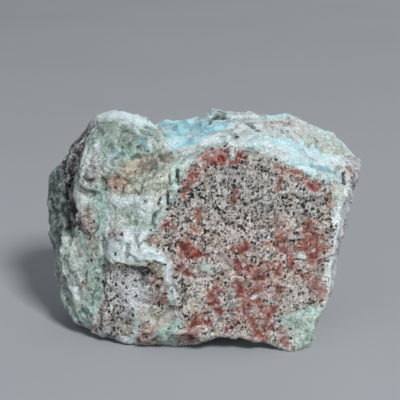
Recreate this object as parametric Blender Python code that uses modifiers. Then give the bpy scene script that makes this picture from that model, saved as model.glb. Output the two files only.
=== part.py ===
"""Rough larimar: one broken stone of pale blue and green crust on speckled basalt.

Metres, +Z up. The speckled broken face looks along -Y and the origin is at the middle of the
stone's footprint, on the surface that it stands on. Numbers in the tables below are millimetres
and degrees. The stone is made the way that it broke: blocks are split along named faces, joined,
weathered, given their ledges and seams, and ground flat where the stone rests.
"""

import math
from dataclasses import dataclass

import bmesh
import bpy
import numpy as np
from mathutils import Vector, noise

MM = 0.001

# Driving dimensions of the stone, in millimetres.
WIDTH = 107.0
DEPTH = 60.0
HEIGHT = 72.0

# How finely the stone is carved, before it is thinned to its final facets.
CARVING_VOXEL = 1.15
WEATHERING_STEPS = 2
FACET_COUNT = 9400

# How far a face is turned to the front where strokes begin, and where they are at full height.
FRONT_START, FRONT_FULL = 0.15, 0.4
# Strokes fade out between these depths behind the middle.
STROKE_FULL_Y, STROKE_END_Y = -2.0, 6.0

# A gap narrows to this share of its width and depth at its lower end.
GAP_TAPER = 0.25

# Facets with edges shorter than this, in metres, are closed up.
SHORTEST_EDGE = 0.00001

STONE_COLOUR = (0.43, 0.50, 0.47, 1.0)
STONE_ROUGHNESS = 0.8


@dataclass(frozen=True)
class Break:
    """One broken face: a point on it, and the way that it looks.

    heading is in degrees, 0 towards -Y and 90 towards +X. rise is in degrees above level.
    """

    point: tuple
    heading: float
    rise: float

    def normal(self):
        heading, rise = math.radians(self.heading), math.radians(self.rise)
        return Vector(
            (
                math.sin(heading) * math.cos(rise),
                -math.cos(heading) * math.cos(rise),
                math.sin(rise),
            )
        )


@dataclass(frozen=True)
class Block:
    """A box from corner low to corner high, split along its breaks."""

    low: tuple
    high: tuple
    breaks: tuple


@dataclass(frozen=True)
class Gap:
    """A thin gap between two layers: its middle, its width, depth and length, and its turn."""

    place: tuple
    size: tuple
    heading: float
    lean: float


@dataclass(frozen=True)
class Hollow:
    """A rounded hollow: its middle and its three radii."""

    middle: tuple
    radii: tuple


@dataclass(frozen=True)
class Stroke:
    """A ridge, or a groove where height is negative, on the front along points (x, z)."""

    path: tuple
    width: float
    height: float


@dataclass(frozen=True)
class Roughness:
    """Lumps of one size over the whole stone: how long they are and how deep."""

    length: float
    depth: float
    seed: float


# The main body, with the speckled face in front.
BODY = Block(
    (-56, -32, -2),
    (56, 32, 78),
    (
        Break((14.0, -26.0, 4.5), 9, 12),  # speckled front
        Break((-18.0, -25.0, 38.0), -27, 19),  # crusted front, left of the speckled one
        Break((-26.5, -20.8, 18.0), -36, 0),  # lower left, beside the lump
        Break((-39.8, -12.0, 54.0), -69, 6),  # dark left end
        Break((-49.0, 1.0, 15.0), -78, -25),  # lower left end
        Break((-44.2, 10.0, 57.0), -70, 42),  # upper left slope
        Break((12.0, 20.0, 70.6), -14, 80),  # top
        Break((0.0, -6.0, 64.6), -62, 69),  # slope down to the saddle
        Break((41.5, -12.0, 50.4), 54, 56),  # right shoulder
        Break((44.4, -8.0, 34.0), 76, -9),  # right end
        Break((51.5, 14.0, 50.0), 118, -20),  # right end, rear
        Break((40.6, -17.0, 13.0), 62, -40),  # lower right corner
        Break((14.0, -24.6, 3.4), -3, -52),  # front foot
        Break((-17.0, -27.0, 0.2), -30, -50),  # left foot
        Break((0.0, 29.0, 36.0), 178, 6),  # back
        Break((-34.0, 24.0, 32.0), -146, 9),  # back left
        Break((34.0, 25.0, 34.0), 146, -4),  # back right
        Break((8.0, 24.0, 64.0), 170, 48),  # back of the top
        Break((0.0, 25.0, 6.0), 180, -38),  # back foot
        Break((-42.0, 12.0, 4.0), -110, -40),  # rear left foot
        Break((-23.0, 0.0, 0.0), -84, -79),  # underside, rising to the left
        Break((34.0, 0.0, 0.0), 100, -72),  # underside, rising to the right
        Break((0.0, 13.0, 0.0), 176, -76),  # underside, rising to the back
    ),
)

# The green lobe that rises at the upper left, above the brown ledge.
LOBE = Block(
    (-48, -24, 48),
    (-2, 24, 78),
    (
        Break((-27.0, -12.5, 62.0), -14, 30),  # mottled green front
        Break((-24.0, -16.5, 56.0), -8, -30),  # under the front, down to the brown ledge
        Break((-26.0, 2.0, 71.0), -12, 84),  # pale cap
        Break((-34.6, -2.0, 66.6), -60, 56),  # shoulder of the cap
        Break((-14.0, -6.0, 66.6), 62, 40),  # flank towards the blue saddle
        Break((-39.8, -8.0, 58.0), -76, 9),  # left flank
        Break((-26.0, 12.0, 68.6), 172, 44),  # back of the lobe
        Break((-40.0, 6.0, 62.0), -80, 35),  # rear left slope
    ),
)

# The dark slab behind the left end.
SLAB = Block(
    (-57, 3, 8),
    (-18, 27, 62),
    (
        Break((-49.4, 7.0, 40.0), -51, 3),  # front of the slab
        Break((-47.2, 12.0, 51.6), -62, 44),  # upper edge
        Break((-53.4, 14.0, 34.0), -92, -2),  # outer edge
        Break((-49.5, 12.0, 17.0), -70, -36),  # lower edge
        Break((-40.0, 25.0, 36.0), -152, 8),  # back of the slab
    ),
)

# The green lump at the lower left.
LUMP = Block(
    (-52, -26, 0),
    (-24, 14, 42),
    (
        Break((-42.0, -12.0, 22.0), -33, 8),  # lit front
        Break((-48.6, -1.0, 22.0), -72, -12),  # left side
        Break((-44.5, -6.0, 33.0), -52, 46),  # slope up to the dark end
        Break((-38.0, -12.0, 36.0), -20, 52),  # slope up to the crusted front
        Break((-42.4, -6.0, 5.4), -62, -44),  # undercut at the left
        Break((-34.0, -14.0, 1.4), -28, -50),  # undercut at the front
        Break((-24.0, 0.0, 0.2), -84, -79),  # underside
        Break((-31.4, -19.0, 20.0), 58, 4),  # step down to the speckled lower left
    ),
)

# The toe that the lower right corner stands on.
TOE = Block(
    (18, -32, -2),
    (40, 2, 12),
    (
        Break((14.0, -26.0, 4.5), 9, 12),  # front, level with the speckled face
        Break((35.4, -16.0, 5.0), 80, 0),  # right side
        Break((33.0, -18.0, 10.4), 60, 55),  # top
        Break((31.0, -22.6, 1.0), 28, -52),  # underside of the front
    ),
)

BLOCKS = {"body": BODY, "lobe": LOBE, "slab": SLAB, "lump": LUMP, "toe": TOE}

# Flakes that are missing. The faces of a flake look out of it.
FLAKES = {
    "front_flake": Block(  # lower left of the front, under the white rim
        (-36, -44, -6),
        (10, -8, 44),
        (
            Break((-16.0, -25.4, 0.0), 168.7, -3.5),  # its back
            Break((-11.0, -24.0, 22.0), 90, 6),  # its right side
            Break((-13.2, -24.0, 28.4), 90, 45),  # round the corner of the rim
            Break((-20.0, -24.0, 30.6), 90, 73),  # its top, under the rim
            Break((-31.5, -20.0, 20.0), -90, 0),  # its left side
        ),
    ),
    "back_flake": Block(  # high on the back
        (-8, 10, 34),
        (60, 46, 80),
        (
            Break((14.0, 24.6, 50.0), -6, 4),  # its front
            Break((12.0, 26.0, 40.0), -40, -72),  # its lower edge
            Break((2.0, 26.0, 52.0), -62, -20),  # its left edge
        ),
    ),
    "rear_flake": Block(  # low on the back
        (-60, 8, -6),
        (0, 46, 30),
        (
            Break((-20.0, 23.4, 16.0), 22, -14),  # its front
            Break((-24.0, 24.0, 25.0), 150, 66),  # its upper edge
            Break((-8.0, 24.0, 14.0), 84, 14),  # its right edge
        ),
    ),
    "end_flake": Block(  # on the right end
        (30, -16, -6),
        (64, 14, 34),
        (
            Break((44.0, 2.0, 20.0), -84, 10),  # its inner side
            Break((46.0, 0.0, 26.0), 30, 74),  # its upper edge
            Break((44.0, 10.0, 18.0), 172, 10),  # its rear edge
            Break((44.0, -7.0, 18.0), 4, 6),  # its front edge
        ),
    ),
}

# Open seams between the layers of the left end.
GAPS = (
    Gap((-43.6, 2.0, 44.0), (3.4, 11.0, 38.0), -60, -3),  # between the dark end and the slab
    Gap((-41.0, -4.6, 37.0), (2.0, 8.0, 13.0), -62, 4),  # shorter one, lower down
)

HOLLOWS = (
    Hollow((8.5, -27.0, -8.5), (22.0, 20.0, 14.6)),  # gap under the middle of the front
    Hollow((-11.0, 8.0, 75.6), (17.0, 34.0, 12.6)),  # blue saddle
    Hollow((22.0, 36.0, 18.0), (20.0, 13.0, 15.0)),  # scoop out of the back
    Hollow((-18.0, 38.0, 46.0), (17.0, 13.0, 12.0)),  # second scoop out of the back
)

# Ledges and seams of the front.
STROKES = (
    Stroke(((-27.6, 35.6), (-20.6, 34.2), (-16.6, 32.3), (-12.4, 29.4), (-10, 25.6), (-9.6, 20)), 3.0, 0.8),
    Stroke(((-31.4, 34), (-32, 26), (-33, 18.5), (-34.2, 11.6), (-34.6, 4.6)), 1.9, -1.8),
    Stroke(((-38, 55.4), (-31.6, 53.6), (-25.2, 56.0), (-17.3, 59.6), (-8, 62)), 2.4, -1.7),
    Stroke(((-37, 51), (-30.5, 49), (-24, 52), (-17, 55.4)), 2.6, 0.9),
    Stroke(((-45.5, 23), (-43.4, 18.7), (-41.2, 15.2), (-40, 9.5)), 1.6, -1.6),
    Stroke(((-12.4, 55), (-13.1, 48.8), (-15, 45), (-16, 41)), 1.5, -1.1),
    Stroke(((3, 65), (9, 66), (18, 65.6), (26, 62.4), (32, 56.6), (42, 52.6)), 2.2, 0.9),
    Stroke(((-35.5, 67), (-38, 59), (-39, 48), (-38.6, 37)), 2.4, 1.1),
    Stroke(((43.6, 44), (41.4, 34), (40.4, 20), (38.6, 13)), 1.8, 0.8),
)

ROUGHNESSES = (
    Roughness(26.0, 1.7, 3.1),
    Roughness(9.0, 1.0, 7.7),
    Roughness(3.6, 0.5, 12.9),
)


def new_collection(name):
    collection = bpy.data.collections.new(name)
    bpy.context.scene.collection.children.link(collection)
    return collection


def put_in(item, collection):
    for owner in list(item.users_collection):
        owner.objects.unlink(item)
    collection.objects.link(item)


def make_block(name, block):
    """A box with each of its breaks split off."""
    middle = [(a + b) / 2 * MM for a, b in zip(block.low, block.high)]
    bpy.ops.mesh.primitive_cube_add(size=1, location=middle)
    piece = bpy.context.object
    piece.name = name
    piece.scale = [(b - a) * MM for a, b in zip(block.low, block.high)]
    bpy.ops.object.transform_apply(location=True, rotation=True, scale=True)
    shape = bmesh.new()
    shape.from_mesh(piece.data)
    for face in block.breaks:
        split_off(shape, Vector(face.point) * MM, face.normal())
    shape.to_mesh(piece.data)
    shape.free()
    return piece


def split_off(shape, point, normal):
    """Cut away all that lies beyond a plane, and close the cut with one face."""
    cut = bmesh.ops.bisect_plane(
        shape,
        geom=shape.verts[:] + shape.edges[:] + shape.faces[:],
        plane_co=point,
        plane_no=normal,
        clear_outer=True,
    )
    rim = [item for item in cut["geom_cut"] if isinstance(item, bmesh.types.BMEdge)]
    bmesh.ops.edgeloop_fill(shape, edges=rim)
    bmesh.ops.recalc_face_normals(shape, faces=shape.faces)


def make_gap(name, gap):
    """A thin cutter that stands across the surface, turned and leant, and narrows downwards."""
    bpy.ops.mesh.primitive_cube_add(size=1, location=Vector(gap.place) * MM)
    piece = bpy.context.object
    piece.name = name
    for corner in piece.data.vertices:
        if corner.co.z < 0:
            corner.co.x *= GAP_TAPER
            corner.co.y *= GAP_TAPER
    piece.scale = Vector(gap.size) * MM
    piece.rotation_euler = (0, math.radians(gap.lean), math.radians(gap.heading))
    bpy.ops.object.transform_apply(location=True, rotation=True, scale=True)
    return piece


def make_hollow(name, hollow):
    bpy.ops.mesh.primitive_ico_sphere_add(subdivisions=3, radius=1, location=Vector(hollow.middle) * MM)
    piece = bpy.context.object
    piece.name = name
    piece.scale = Vector(hollow.radii) * MM
    bpy.ops.object.transform_apply(location=True, rotation=True, scale=True)
    return piece


def boolean(target, cutter, operation):
    step = target.modifiers.new(cutter.name, "BOOLEAN")
    step.operation = operation
    step.solver = "EXACT"
    step.object = cutter


def keep_result(item):
    """Put the shape that an object's modifiers give into its mesh."""
    bpy.context.view_layer.update()
    evaluated = item.evaluated_get(bpy.context.evaluated_depsgraph_get())
    mesh = bpy.data.meshes.new_from_object(evaluated)
    item.modifiers.clear()
    item.data = mesh


def remesh(item, voxel):
    step = item.modifiers.new("carving", "REMESH")
    step.mode = "VOXEL"
    step.voxel_size = voxel * MM
    keep_result(item)


def weather(item):
    """Wear the sharp breaks down a little."""
    step = item.modifiers.new("weathering", "SMOOTH")
    step.factor = 0.5
    step.iterations = WEATHERING_STEPS
    keep_result(item)


def read_mesh(mesh):
    """Places in millimetres and normals, one row for each vertex."""
    count = len(mesh.vertices)
    places = np.empty(count * 3)
    mesh.vertices.foreach_get("co", places)
    normals = np.empty(count * 3)
    mesh.vertex_normals.foreach_get("vector", normals)
    return places.reshape(-1, 3) / MM, normals.reshape(-1, 3)


def write_mesh(mesh, places):
    mesh.vertices.foreach_set("co", (places * MM).ravel())
    mesh.update()


def distance_to_path(points, path):
    """How far each point (x, z) is from a line of straight pieces."""
    nearest = np.full(len(points), np.inf)
    for start, end in zip(path, path[1:]):
        start, run = np.array(start, float), np.subtract(end, start).astype(float)
        along = np.clip((points - start) @ run / (run @ run), 0, 1)
        gap = np.linalg.norm(points - start - along[:, None] * run, axis=1)
        nearest = np.minimum(nearest, gap)
    return nearest


def smooth_step(values, low, high):
    t = np.clip((values - low) / (high - low), 0, 1)
    return t * t * (3 - 2 * t)


def carve_strokes(item):
    """Raise the ridges and sink the grooves of the front."""
    places, normals = read_mesh(item.data)
    front = smooth_step(-normals[:, 1], FRONT_START, FRONT_FULL)
    front *= smooth_step(-places[:, 1], -STROKE_END_Y, -STROKE_FULL_Y)
    lift = np.zeros(len(places))
    for stroke in STROKES:
        gap = distance_to_path(places[:, [0, 2]], stroke.path)
        lift += stroke.height * (1 - smooth_step(gap, 0, stroke.width))
    places += normals * (front * lift)[:, None]
    write_mesh(item.data, places)


def roughen(item):
    """Move every point along its normal by lumps of several sizes."""
    for rough in ROUGHNESSES:
        places, normals = read_mesh(item.data)
        offset = Vector((rough.seed, rough.seed, rough.seed))
        lift = [noise.noise(Vector(place) / rough.length + offset) for place in places]
        places += normals * (np.array(lift) * rough.depth)[:, None]
        write_mesh(item.data, places)


def thin(item):
    """Thin the mesh to the final number of facets."""
    item.data.calc_loop_triangles()
    step = item.modifiers.new("thinning", "DECIMATE")
    step.ratio = FACET_COUNT / len(item.data.loop_triangles)
    step.use_collapse_triangulate = True
    keep_result(item)


def fit_to_size(item):
    """Scale to the driving dimensions, with the origin under the middle of the stone."""
    places, _ = read_mesh(item.data)
    low, high = places.min(axis=0), places.max(axis=0)
    middle = (low + high) / 2
    base = np.array((middle[0], middle[1], low[2]))
    places = (places - base) * (np.array((WIDTH, DEPTH, HEIGHT)) / (high - low))
    write_mesh(item.data, places)


def grind_base(item):
    """Cut the stone flat where it rests."""
    shape = bmesh.new()
    shape.from_mesh(item.data)
    split_off(shape, Vector((0, 0, 0)), Vector((0, 0, -1)))
    bmesh.ops.triangulate(shape, faces=shape.faces)
    bmesh.ops.dissolve_degenerate(shape, edges=shape.edges, dist=SHORTEST_EDGE)
    shape.to_mesh(item.data)
    shape.free()


def stone_material():
    material = bpy.data.materials.new("rough_larimar")
    material.use_nodes = True
    shader = material.node_tree.nodes["Principled BSDF"]
    shader.inputs["Base Color"].default_value = STONE_COLOUR
    shader.inputs["Roughness"].default_value = STONE_ROUGHNESS
    shader.inputs["Metallic"].default_value = 0.0
    return material


def make_stone():
    """Split, join, weather, carve and thin the stone."""
    pieces = [make_block(name, block) for name, block in BLOCKS.items()]
    cutters = [make_gap(f"gap_{i}", gap) for i, gap in enumerate(GAPS)]
    cutters += [make_hollow(f"hollow_{i}", hollow) for i, hollow in enumerate(HOLLOWS)]
    cutters += [make_block(name, flake) for name, flake in FLAKES.items()]
    stone = pieces[0]
    for piece in pieces[1:]:
        boolean(stone, piece, "UNION")
    for cutter in cutters:
        boolean(stone, cutter, "DIFFERENCE")
    keep_result(stone)
    for piece in pieces[1:]:
        bpy.data.objects.remove(piece)
    remesh(stone, CARVING_VOXEL)
    weather(stone)
    carve_strokes(stone)
    roughen(stone)
    thin(stone)
    grind_base(stone)
    fit_to_size(stone)
    return stone, cutters


def main():
    for old in list(bpy.data.objects):
        bpy.data.objects.remove(old)
    stone, cutters = make_stone()
    stone.name = "stone"
    stone.data.name = "stone"
    stone.data.materials.clear()
    stone.data.materials.append(stone_material())
    put_in(stone, new_collection("rough_larimar"))
    cutter_collection = new_collection("cutters")
    for cutter in cutters:
        cutter.hide_render = True
        cutter.display_type = "WIRE"
        put_in(cutter, cutter_collection)


main()
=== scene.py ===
"""The looks of a rough larimar: pale blue and green crust on speckled, red-stained basalt.

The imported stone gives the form. Here it gets its fine relief, its minerals and a plain studio.
Lengths in the tables are millimetres. Places on a side are (across, up) from its middle, as
somebody who looks straight at that side would measure them.
"""

import logging
import math
from dataclasses import dataclass, field
from enum import Enum

import bpy
import numpy as np
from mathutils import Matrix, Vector, noise
from mathutils.kdtree import KDTree


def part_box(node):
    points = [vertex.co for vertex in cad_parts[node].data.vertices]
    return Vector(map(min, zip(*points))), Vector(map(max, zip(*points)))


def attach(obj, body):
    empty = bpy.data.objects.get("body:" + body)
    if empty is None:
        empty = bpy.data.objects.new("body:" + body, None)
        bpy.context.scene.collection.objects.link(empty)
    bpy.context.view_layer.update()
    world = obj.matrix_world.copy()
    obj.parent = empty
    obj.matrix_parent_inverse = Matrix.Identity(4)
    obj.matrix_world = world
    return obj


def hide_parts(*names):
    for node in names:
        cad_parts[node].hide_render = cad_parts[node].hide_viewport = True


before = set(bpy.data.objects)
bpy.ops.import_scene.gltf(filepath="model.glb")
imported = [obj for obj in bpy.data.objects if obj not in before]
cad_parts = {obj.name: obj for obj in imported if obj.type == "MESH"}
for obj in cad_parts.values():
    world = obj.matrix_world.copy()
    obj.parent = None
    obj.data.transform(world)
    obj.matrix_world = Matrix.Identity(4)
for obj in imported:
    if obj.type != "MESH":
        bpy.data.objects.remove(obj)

log = logging.getLogger("larimar")

Socket = bpy.types.NodeSocket
Number = bpy.types.NodeSocket | float
Paint = bpy.types.NodeSocket | tuple
Triple = tuple[float, float, float]
Path = tuple[tuple[float, float], ...]

MM = 0.001

# The photograph's view: where the camera looks, how far away it stands and how high it looks from.
VIEW_TARGET = Vector((-0.001, -0.002, 0.0438))
VIEW_DISTANCE = 0.42
VIEW_ELEVATION = math.radians(16.0)
VIEW_WIDTH = 0.132
SENSOR_WIDTH = 36.0
SIN_ELEVATION = math.sin(VIEW_ELEVATION)
COS_ELEVATION = math.cos(VIEW_ELEVATION)


class Mineral(Enum):
    """What the surface is made of, with the name of its attribute."""

    CRUST = "crust"
    WHITE = "white_crust"
    ICE = "ice_blue"
    SKY = "sky_blue"
    TEAL = "teal"
    MINT = "mint"
    GREEN = "moss_green"
    OLIVE = "olive"
    BROWN = "brown"
    ROSE = "rose"
    LILAC = "lilac"
    TAN = "tan"
    CREAM = "cream"
    BASALT = "basalt"
    SLATE = "slate"
    SPECKLE = "speckle"
    BLUSH = "blush"
    RUST = "rust"
    RED = "iron_red"
    CRIMSON = "crimson"
    PLUM = "plum"
    # Not a mineral: near-black painted shade, laid into cracks, pits and gaps.
    PAINTED_CRACK_SHADE = "painted_crack_shade"


M = Mineral


@dataclass(frozen=True)
class Tone:
    """One mineral's finish.

    light and dark are linear colours, mottle is the length of its clouds and contrast how sharp
    they are. grains and flecks are the shares of dark and pale grains, clean is how
    free it is of grime clouds and of the painted crevice shade and crest highlight, lumps and
    hackle are depths of relief, and dull is its roughness.
    """

    light: Triple
    dark: Triple
    mottle: float
    contrast: float
    grains: float
    flecks: float
    clean: float
    lumps: float
    hackle: float
    dull: float = 0.72


TONES = {
    M.CRUST: Tone((0.72, 0.79, 0.76), (0.38, 0.455, 0.425), 1.4, 3.0, 0.07, 0.25, 0.0, 0.20, 0.08),
    M.WHITE: Tone((0.89, 0.96, 1.00), (0.57, 0.665, 0.70), 1.4, 2.8, 0.05, 0.2, 0.5, 0.17, 0.07),
    M.ICE: Tone((0.84, 0.97, 1.00), (0.66, 0.80, 0.87), 1.8, 2.4, 0.0, 0.15, 0.8, 0.14, 0.05, 0.55),
    M.SKY: Tone((0.56, 0.96, 1.00), (0.43, 0.80, 0.93), 2.2, 2.4, 0.0, 0.15, 0.9, 0.14, 0.05, 0.52),
    M.TEAL: Tone((0.32, 0.58, 0.68), (0.16, 0.35, 0.43), 1.5, 2.6, 0.03, 0.1, 0.6, 0.16, 0.06, 0.58),
    M.MINT: Tone((0.54, 0.73, 0.66), (0.30, 0.45, 0.40), 1.5, 2.8, 0.06, 0.2, 0.2, 0.16, 0.06, 0.66),
    M.GREEN: Tone((0.44, 0.57, 0.50), (0.18, 0.27, 0.228), 1.2, 2.8, 0.10, 0.20, 0.0, 0.22, 0.10),
    M.OLIVE: Tone((0.66, 0.70, 0.58), (0.27, 0.30, 0.24), 1.0, 3.2, 0.08, 0.25, 0.0, 0.20, 0.12),
    M.BROWN: Tone((0.50, 0.38, 0.29), (0.23, 0.17, 0.13), 1.0, 3.0, 0.06, 0.15, 0.0, 0.16, 0.08),
    M.ROSE: Tone((0.60, 0.40, 0.345), (0.29, 0.155, 0.13), 0.9, 3.2, 0.28, 0.35, 0.0, 0.16, 0.08),
    M.LILAC: Tone((0.82, 0.79, 0.85), (0.46, 0.42, 0.48), 1.3, 2.8, 0.16, 0.4, 0.0, 0.18, 0.10),
    M.TAN: Tone((0.52, 0.43, 0.345), (0.27, 0.21, 0.165), 1.1, 2.8, 0.42, 0.35, 0.0, 0.15, 0.08),
    M.CREAM: Tone((0.64, 0.64, 0.55), (0.36, 0.36, 0.31), 1.3, 2.6, 0.12, 0.25, 0.2, 0.17, 0.07),
    M.BASALT: Tone((0.098, 0.080, 0.084), (0.012, 0.010, 0.012), 0.6, 3.6, 0.35, 0.32, 0.0, 0.22, 0.14, 0.7),
    M.SLATE: Tone((0.225, 0.285, 0.275), (0.068, 0.094, 0.092), 1.8, 2.6, 0.1, 0.12, 0.0, 0.17, 0.12, 0.7),
    M.SPECKLE: Tone((0.61, 0.58, 0.54), (0.215, 0.205, 0.19), 0.8, 3.4, 0.80, 0.65, 0.0, 0.13, 0.08),
    M.BLUSH: Tone((0.73, 0.605, 0.57), (0.255, 0.197, 0.183), 0.8, 3.6, 0.74, 0.65, 0.0, 0.13, 0.08),
    M.RED: Tone((0.40, 0.088, 0.058), (0.09, 0.012, 0.014), 0.9, 4.2, 0.22, 0.18, 0.0, 0.14, 0.08, 0.66),
    M.RUST: Tone((0.56, 0.30, 0.215), (0.26, 0.10, 0.065), 0.9, 3.6, 0.26, 0.35, 0.0, 0.14, 0.08),
    M.CRIMSON: Tone((0.31, 0.045, 0.060), (0.10, 0.012, 0.020), 0.9, 3.6, 0.12, 0.15, 0.0, 0.14, 0.08, 0.66),
    M.PLUM: Tone((0.24, 0.21, 0.25), (0.03, 0.026, 0.035), 0.8, 3.4, 0.7, 0.2, 0.0, 0.22, 0.14),
    # The painted shade of cracks, pits and gaps.
    M.PAINTED_CRACK_SHADE: Tone((0.05, 0.055, 0.05), (0.018, 0.02, 0.018), 0.8, 2.0, 0.0, 0.0, 0.0, 0.14, 0.06, 0.8),
}


@dataclass(frozen=True)
class GrainLayer:
    """Mineral grains of one kind and size.

    reading is the attribute that says how many there are, and share how many of those lie in this
    layer. spacing is the distance between their middles, size their radius in spacings, cover how
    opaque they are and tone their linear colour.
    """

    reading: str
    spacing: float
    size: float
    share: float
    cover: float
    tone: tuple


DARK_GRAIN = (0.014, 0.014, 0.014, 1.0)
PALE_GRAIN = (0.83, 0.81, 0.77, 1.0)

GRAIN_LAYERS = (
    GrainLayer("flecks", 0.8, 0.50, 0.8, 0.52, PALE_GRAIN),
    GrainLayer("flecks", 1.3, 0.50, 0.5, 0.52, PALE_GRAIN),
    GrainLayer("grains", 0.62, 0.47, 0.80, 0.92, DARK_GRAIN),
    GrainLayer("grains", 1.05, 0.57, 0.92, 1.0, DARK_GRAIN),
)


@dataclass(frozen=True)
class Veil:
    """A tint that follows a noise: how sharply, and what its low and high ends multiply by."""

    contrast: float
    low: tuple
    high: tuple


SHADE = Veil(2.6, (0.74, 0.75, 0.75, 1.0), (1.14, 1.14, 1.14, 1.0))
STRANDS = Veil(3.4, (0.78, 0.78, 0.77, 1.0), (1.12, 1.12, 1.12, 1.0))
WARMTH = Veil(3.0, (0.95, 1.01, 1.03, 1.0), (1.05, 1.0, 0.96, 1.0))
SAND = Veil(3.6, (0.69, 0.69, 0.69, 1.0), (1.27, 1.27, 1.26, 1.0))

# How often the crust's level fibres repeat along, across and up the stone, per metre.
FIBRES = (150.0, 400.0, 900.0)

# How much closer the lumps of the skin lie along, across and up the stone.
LAYERING = (0.8, 0.8, 1.45)

# Clouds that are added up: (strength, length, seed) of each.
WOBBLE = ((1.3, 5.0, 0.0), (0.8, 2.0, 3.0), (0.5, 0.9, 7.0))
STAIN_CLUSTERS = ((1.0, 6.5, 61.0), (0.6, 2.4, 67.0), (0.35, 1.1, 71.0))
GROUND_CLOUDS = ((1.0, 4.2, 83.0), (0.5, 1.8, 89.0))
LUMPS = ((1.0, 3.6, 2.1), (0.6, 1.7, 8.8))
RIDGES = ((1.0, 5.2, 17.7), (0.4, 2.3, 4.4))
GRIT = ((1.0, 1.0, 23.0),)

# Shifts of the clouds that bend the borders of what is laid on, across and up.
WOBBLE_SEEDS = (11.3, 47.9)

# How much of that bends a trail and a cut, and how far past its path a patch or trail can matter.
TRAIL_WOBBLE = 0.6
CUT_WOBBLE = 0.35
MARGIN = 3.0

# Where a trail stops being full and where it ends, in radii.
TRAIL_CORE = 0.55
TRAIL_RIM = 1.35


@dataclass(frozen=True)
class Side:
    """A direction that minerals are laid on from.

    across, up and towards are unit vectors, towards from the stone to the viewer. middle is where
    they look, and reach is the viewer's distance, both in metres. A reach of 0 is a side that is
    seen square on from far away. start and full are how far a surface is turned to the side where
    minerals begin and are complete, from 0 for edge on to 1 for face on.
    """

    across: Triple
    up: Triple
    towards: Triple
    middle: Triple = (0.0, 0.0, 0.036)
    reach: float = 0.0
    start: float = 0.25
    full: float = 0.55

    def places(self, points: np.ndarray) -> np.ndarray:
        """Where points lie on this side.

        Args:
            points: Places in metres, one row each.

        Returns:
            (across, up) in millimetres, one row each.
        """
        offset = points - np.array(self.middle)
        flat = np.column_stack((offset @ np.array(self.across), offset @ np.array(self.up)))
        if self.reach:
            nearness = self.reach - offset @ np.array(self.towards)
            flat *= (self.reach / nearness)[:, None]
        return flat / MM

    def facing(self, points: np.ndarray, normals: np.ndarray) -> np.ndarray:
        """How fully the surface is turned to this side, from 0 to 1.

        Args:
            points: Places in metres, one row each.
            normals: Unit normals, one row each.

        Returns:
            One number for each row.
        """
        look = np.tile(np.array(self.towards), (len(points), 1))
        if self.reach:
            look = np.array(self.middle) + self.reach * look - points
            look /= np.linalg.norm(look, axis=1)[:, None]
        return smooth_step(np.einsum("ij,ij->i", look, normals), self.start, self.full)


@dataclass(frozen=True)
class Patch:
    """An area of one mineral inside an outline.

    strength is how fully it covers what is below, soft how wide its border is, and ragged how much
    the border wanders.
    """

    mineral: Mineral
    outline: Path
    strength: float = 1.0
    soft: float = 0.9
    ragged: float = 1.0


@dataclass(frozen=True)
class Trail:
    """A streak of one mineral along a path, or a spot where the path is one point."""

    mineral: Mineral
    radius: float
    path: Path
    strength: float = 1.0
    ragged: float = 1.0


@dataclass(frozen=True)
class Vein:
    """Clouds of one mineral all over the stone.

    length is their size, seed shifts their pattern, and floor is the noise where they begin.
    """

    mineral: Mineral
    length: float
    seed: float
    floor: float


@dataclass(frozen=True)
class Tint:
    """A mineral that follows clouds over the speckled ground.

    strength is how fully it covers, and start and full are the noise where it begins and is
    complete.
    """

    mineral: Mineral
    strength: float
    start: float
    full: float


@dataclass(frozen=True)
class Cut:
    """A groove along a path, or a ridge where depth is negative."""

    path: Path
    width: float
    depth: float


@dataclass(frozen=True)
class Swell:
    """A rounded rise of the skin around a place on it, or a dip where height is negative."""

    place: Triple
    radius: float
    height: float


def smooth_step(values: np.ndarray, low: float, high: float) -> np.ndarray:
    """Values eased from 0 to 1.

    Args:
        values: What is eased.
        low: Where 0 ends.
        high: Where 1 begins.

    Returns:
        One number for each value.
    """
    t = np.clip((values - low) / (high - low), 0.0, 1.0)
    return t * t * (3.0 - 2.0 * t)


def clouds(points: np.ndarray, length: float, seed: float) -> np.ndarray:
    """Soft noise over space.

    Args:
        points: Places in millimetres, one row each.
        length: Size of the clouds in millimetres.
        seed: Shifts the pattern.

    Returns:
        About -0.7 to 0.7 for each row.
    """
    moved = points / length + np.array((seed, seed * 1.7, seed * 0.6))
    return np.array(list(map(noise.noise, moved.tolist())))


def cloud_sum(points: np.ndarray, parts: tuple, seed: float = 0.0) -> np.ndarray:
    """Clouds of several sizes added up.

    Args:
        points: Places in millimetres, one row each.
        parts: (strength, length, seed) of each.
        seed: Shifts them all.

    Returns:
        One number for each row.
    """
    return sum(strength * clouds(points, length, own + seed) for strength, length, own in parts)


def path_distance(places: np.ndarray, path: Path) -> np.ndarray:
    """How far each place is from a path, or from its only point.

    Args:
        places: (across, up), one row each.
        path: Corners in order.

    Returns:
        One distance for each row.
    """
    if len(path) == 1:
        return np.linalg.norm(places - np.array(path[0]), axis=1)
    nearest = np.full(len(places), np.inf)
    for start, end in zip(path, path[1:]):
        origin = np.array(start, float)
        run = np.subtract(end, start).astype(float)
        along = np.clip((places - origin) @ run / (run @ run), 0.0, 1.0)
        nearest = np.minimum(nearest, np.linalg.norm(places - origin - along[:, None] * run, axis=1))
    return nearest


def outline_depth(places: np.ndarray, outline: Path) -> np.ndarray:
    """How far each place is inside a closed outline, negative outside.

    Args:
        places: (across, up), one row each.
        outline: Corners in order.

    Returns:
        One distance for each row.
    """
    inside = np.zeros(len(places), bool)
    x, y = places[:, 0], places[:, 1]
    closed = tuple(outline) + (outline[0],)
    for (x0, y0), (x1, y1) in zip(closed, closed[1:]):
        if y0 == y1:
            continue
        crossing = (y0 > y) != (y1 > y)
        inside ^= crossing & (x < (x1 - x0) * (y - y0) / (y1 - y0) + x0)
    distance = path_distance(places, closed)
    return np.where(inside, distance, -distance)


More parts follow.
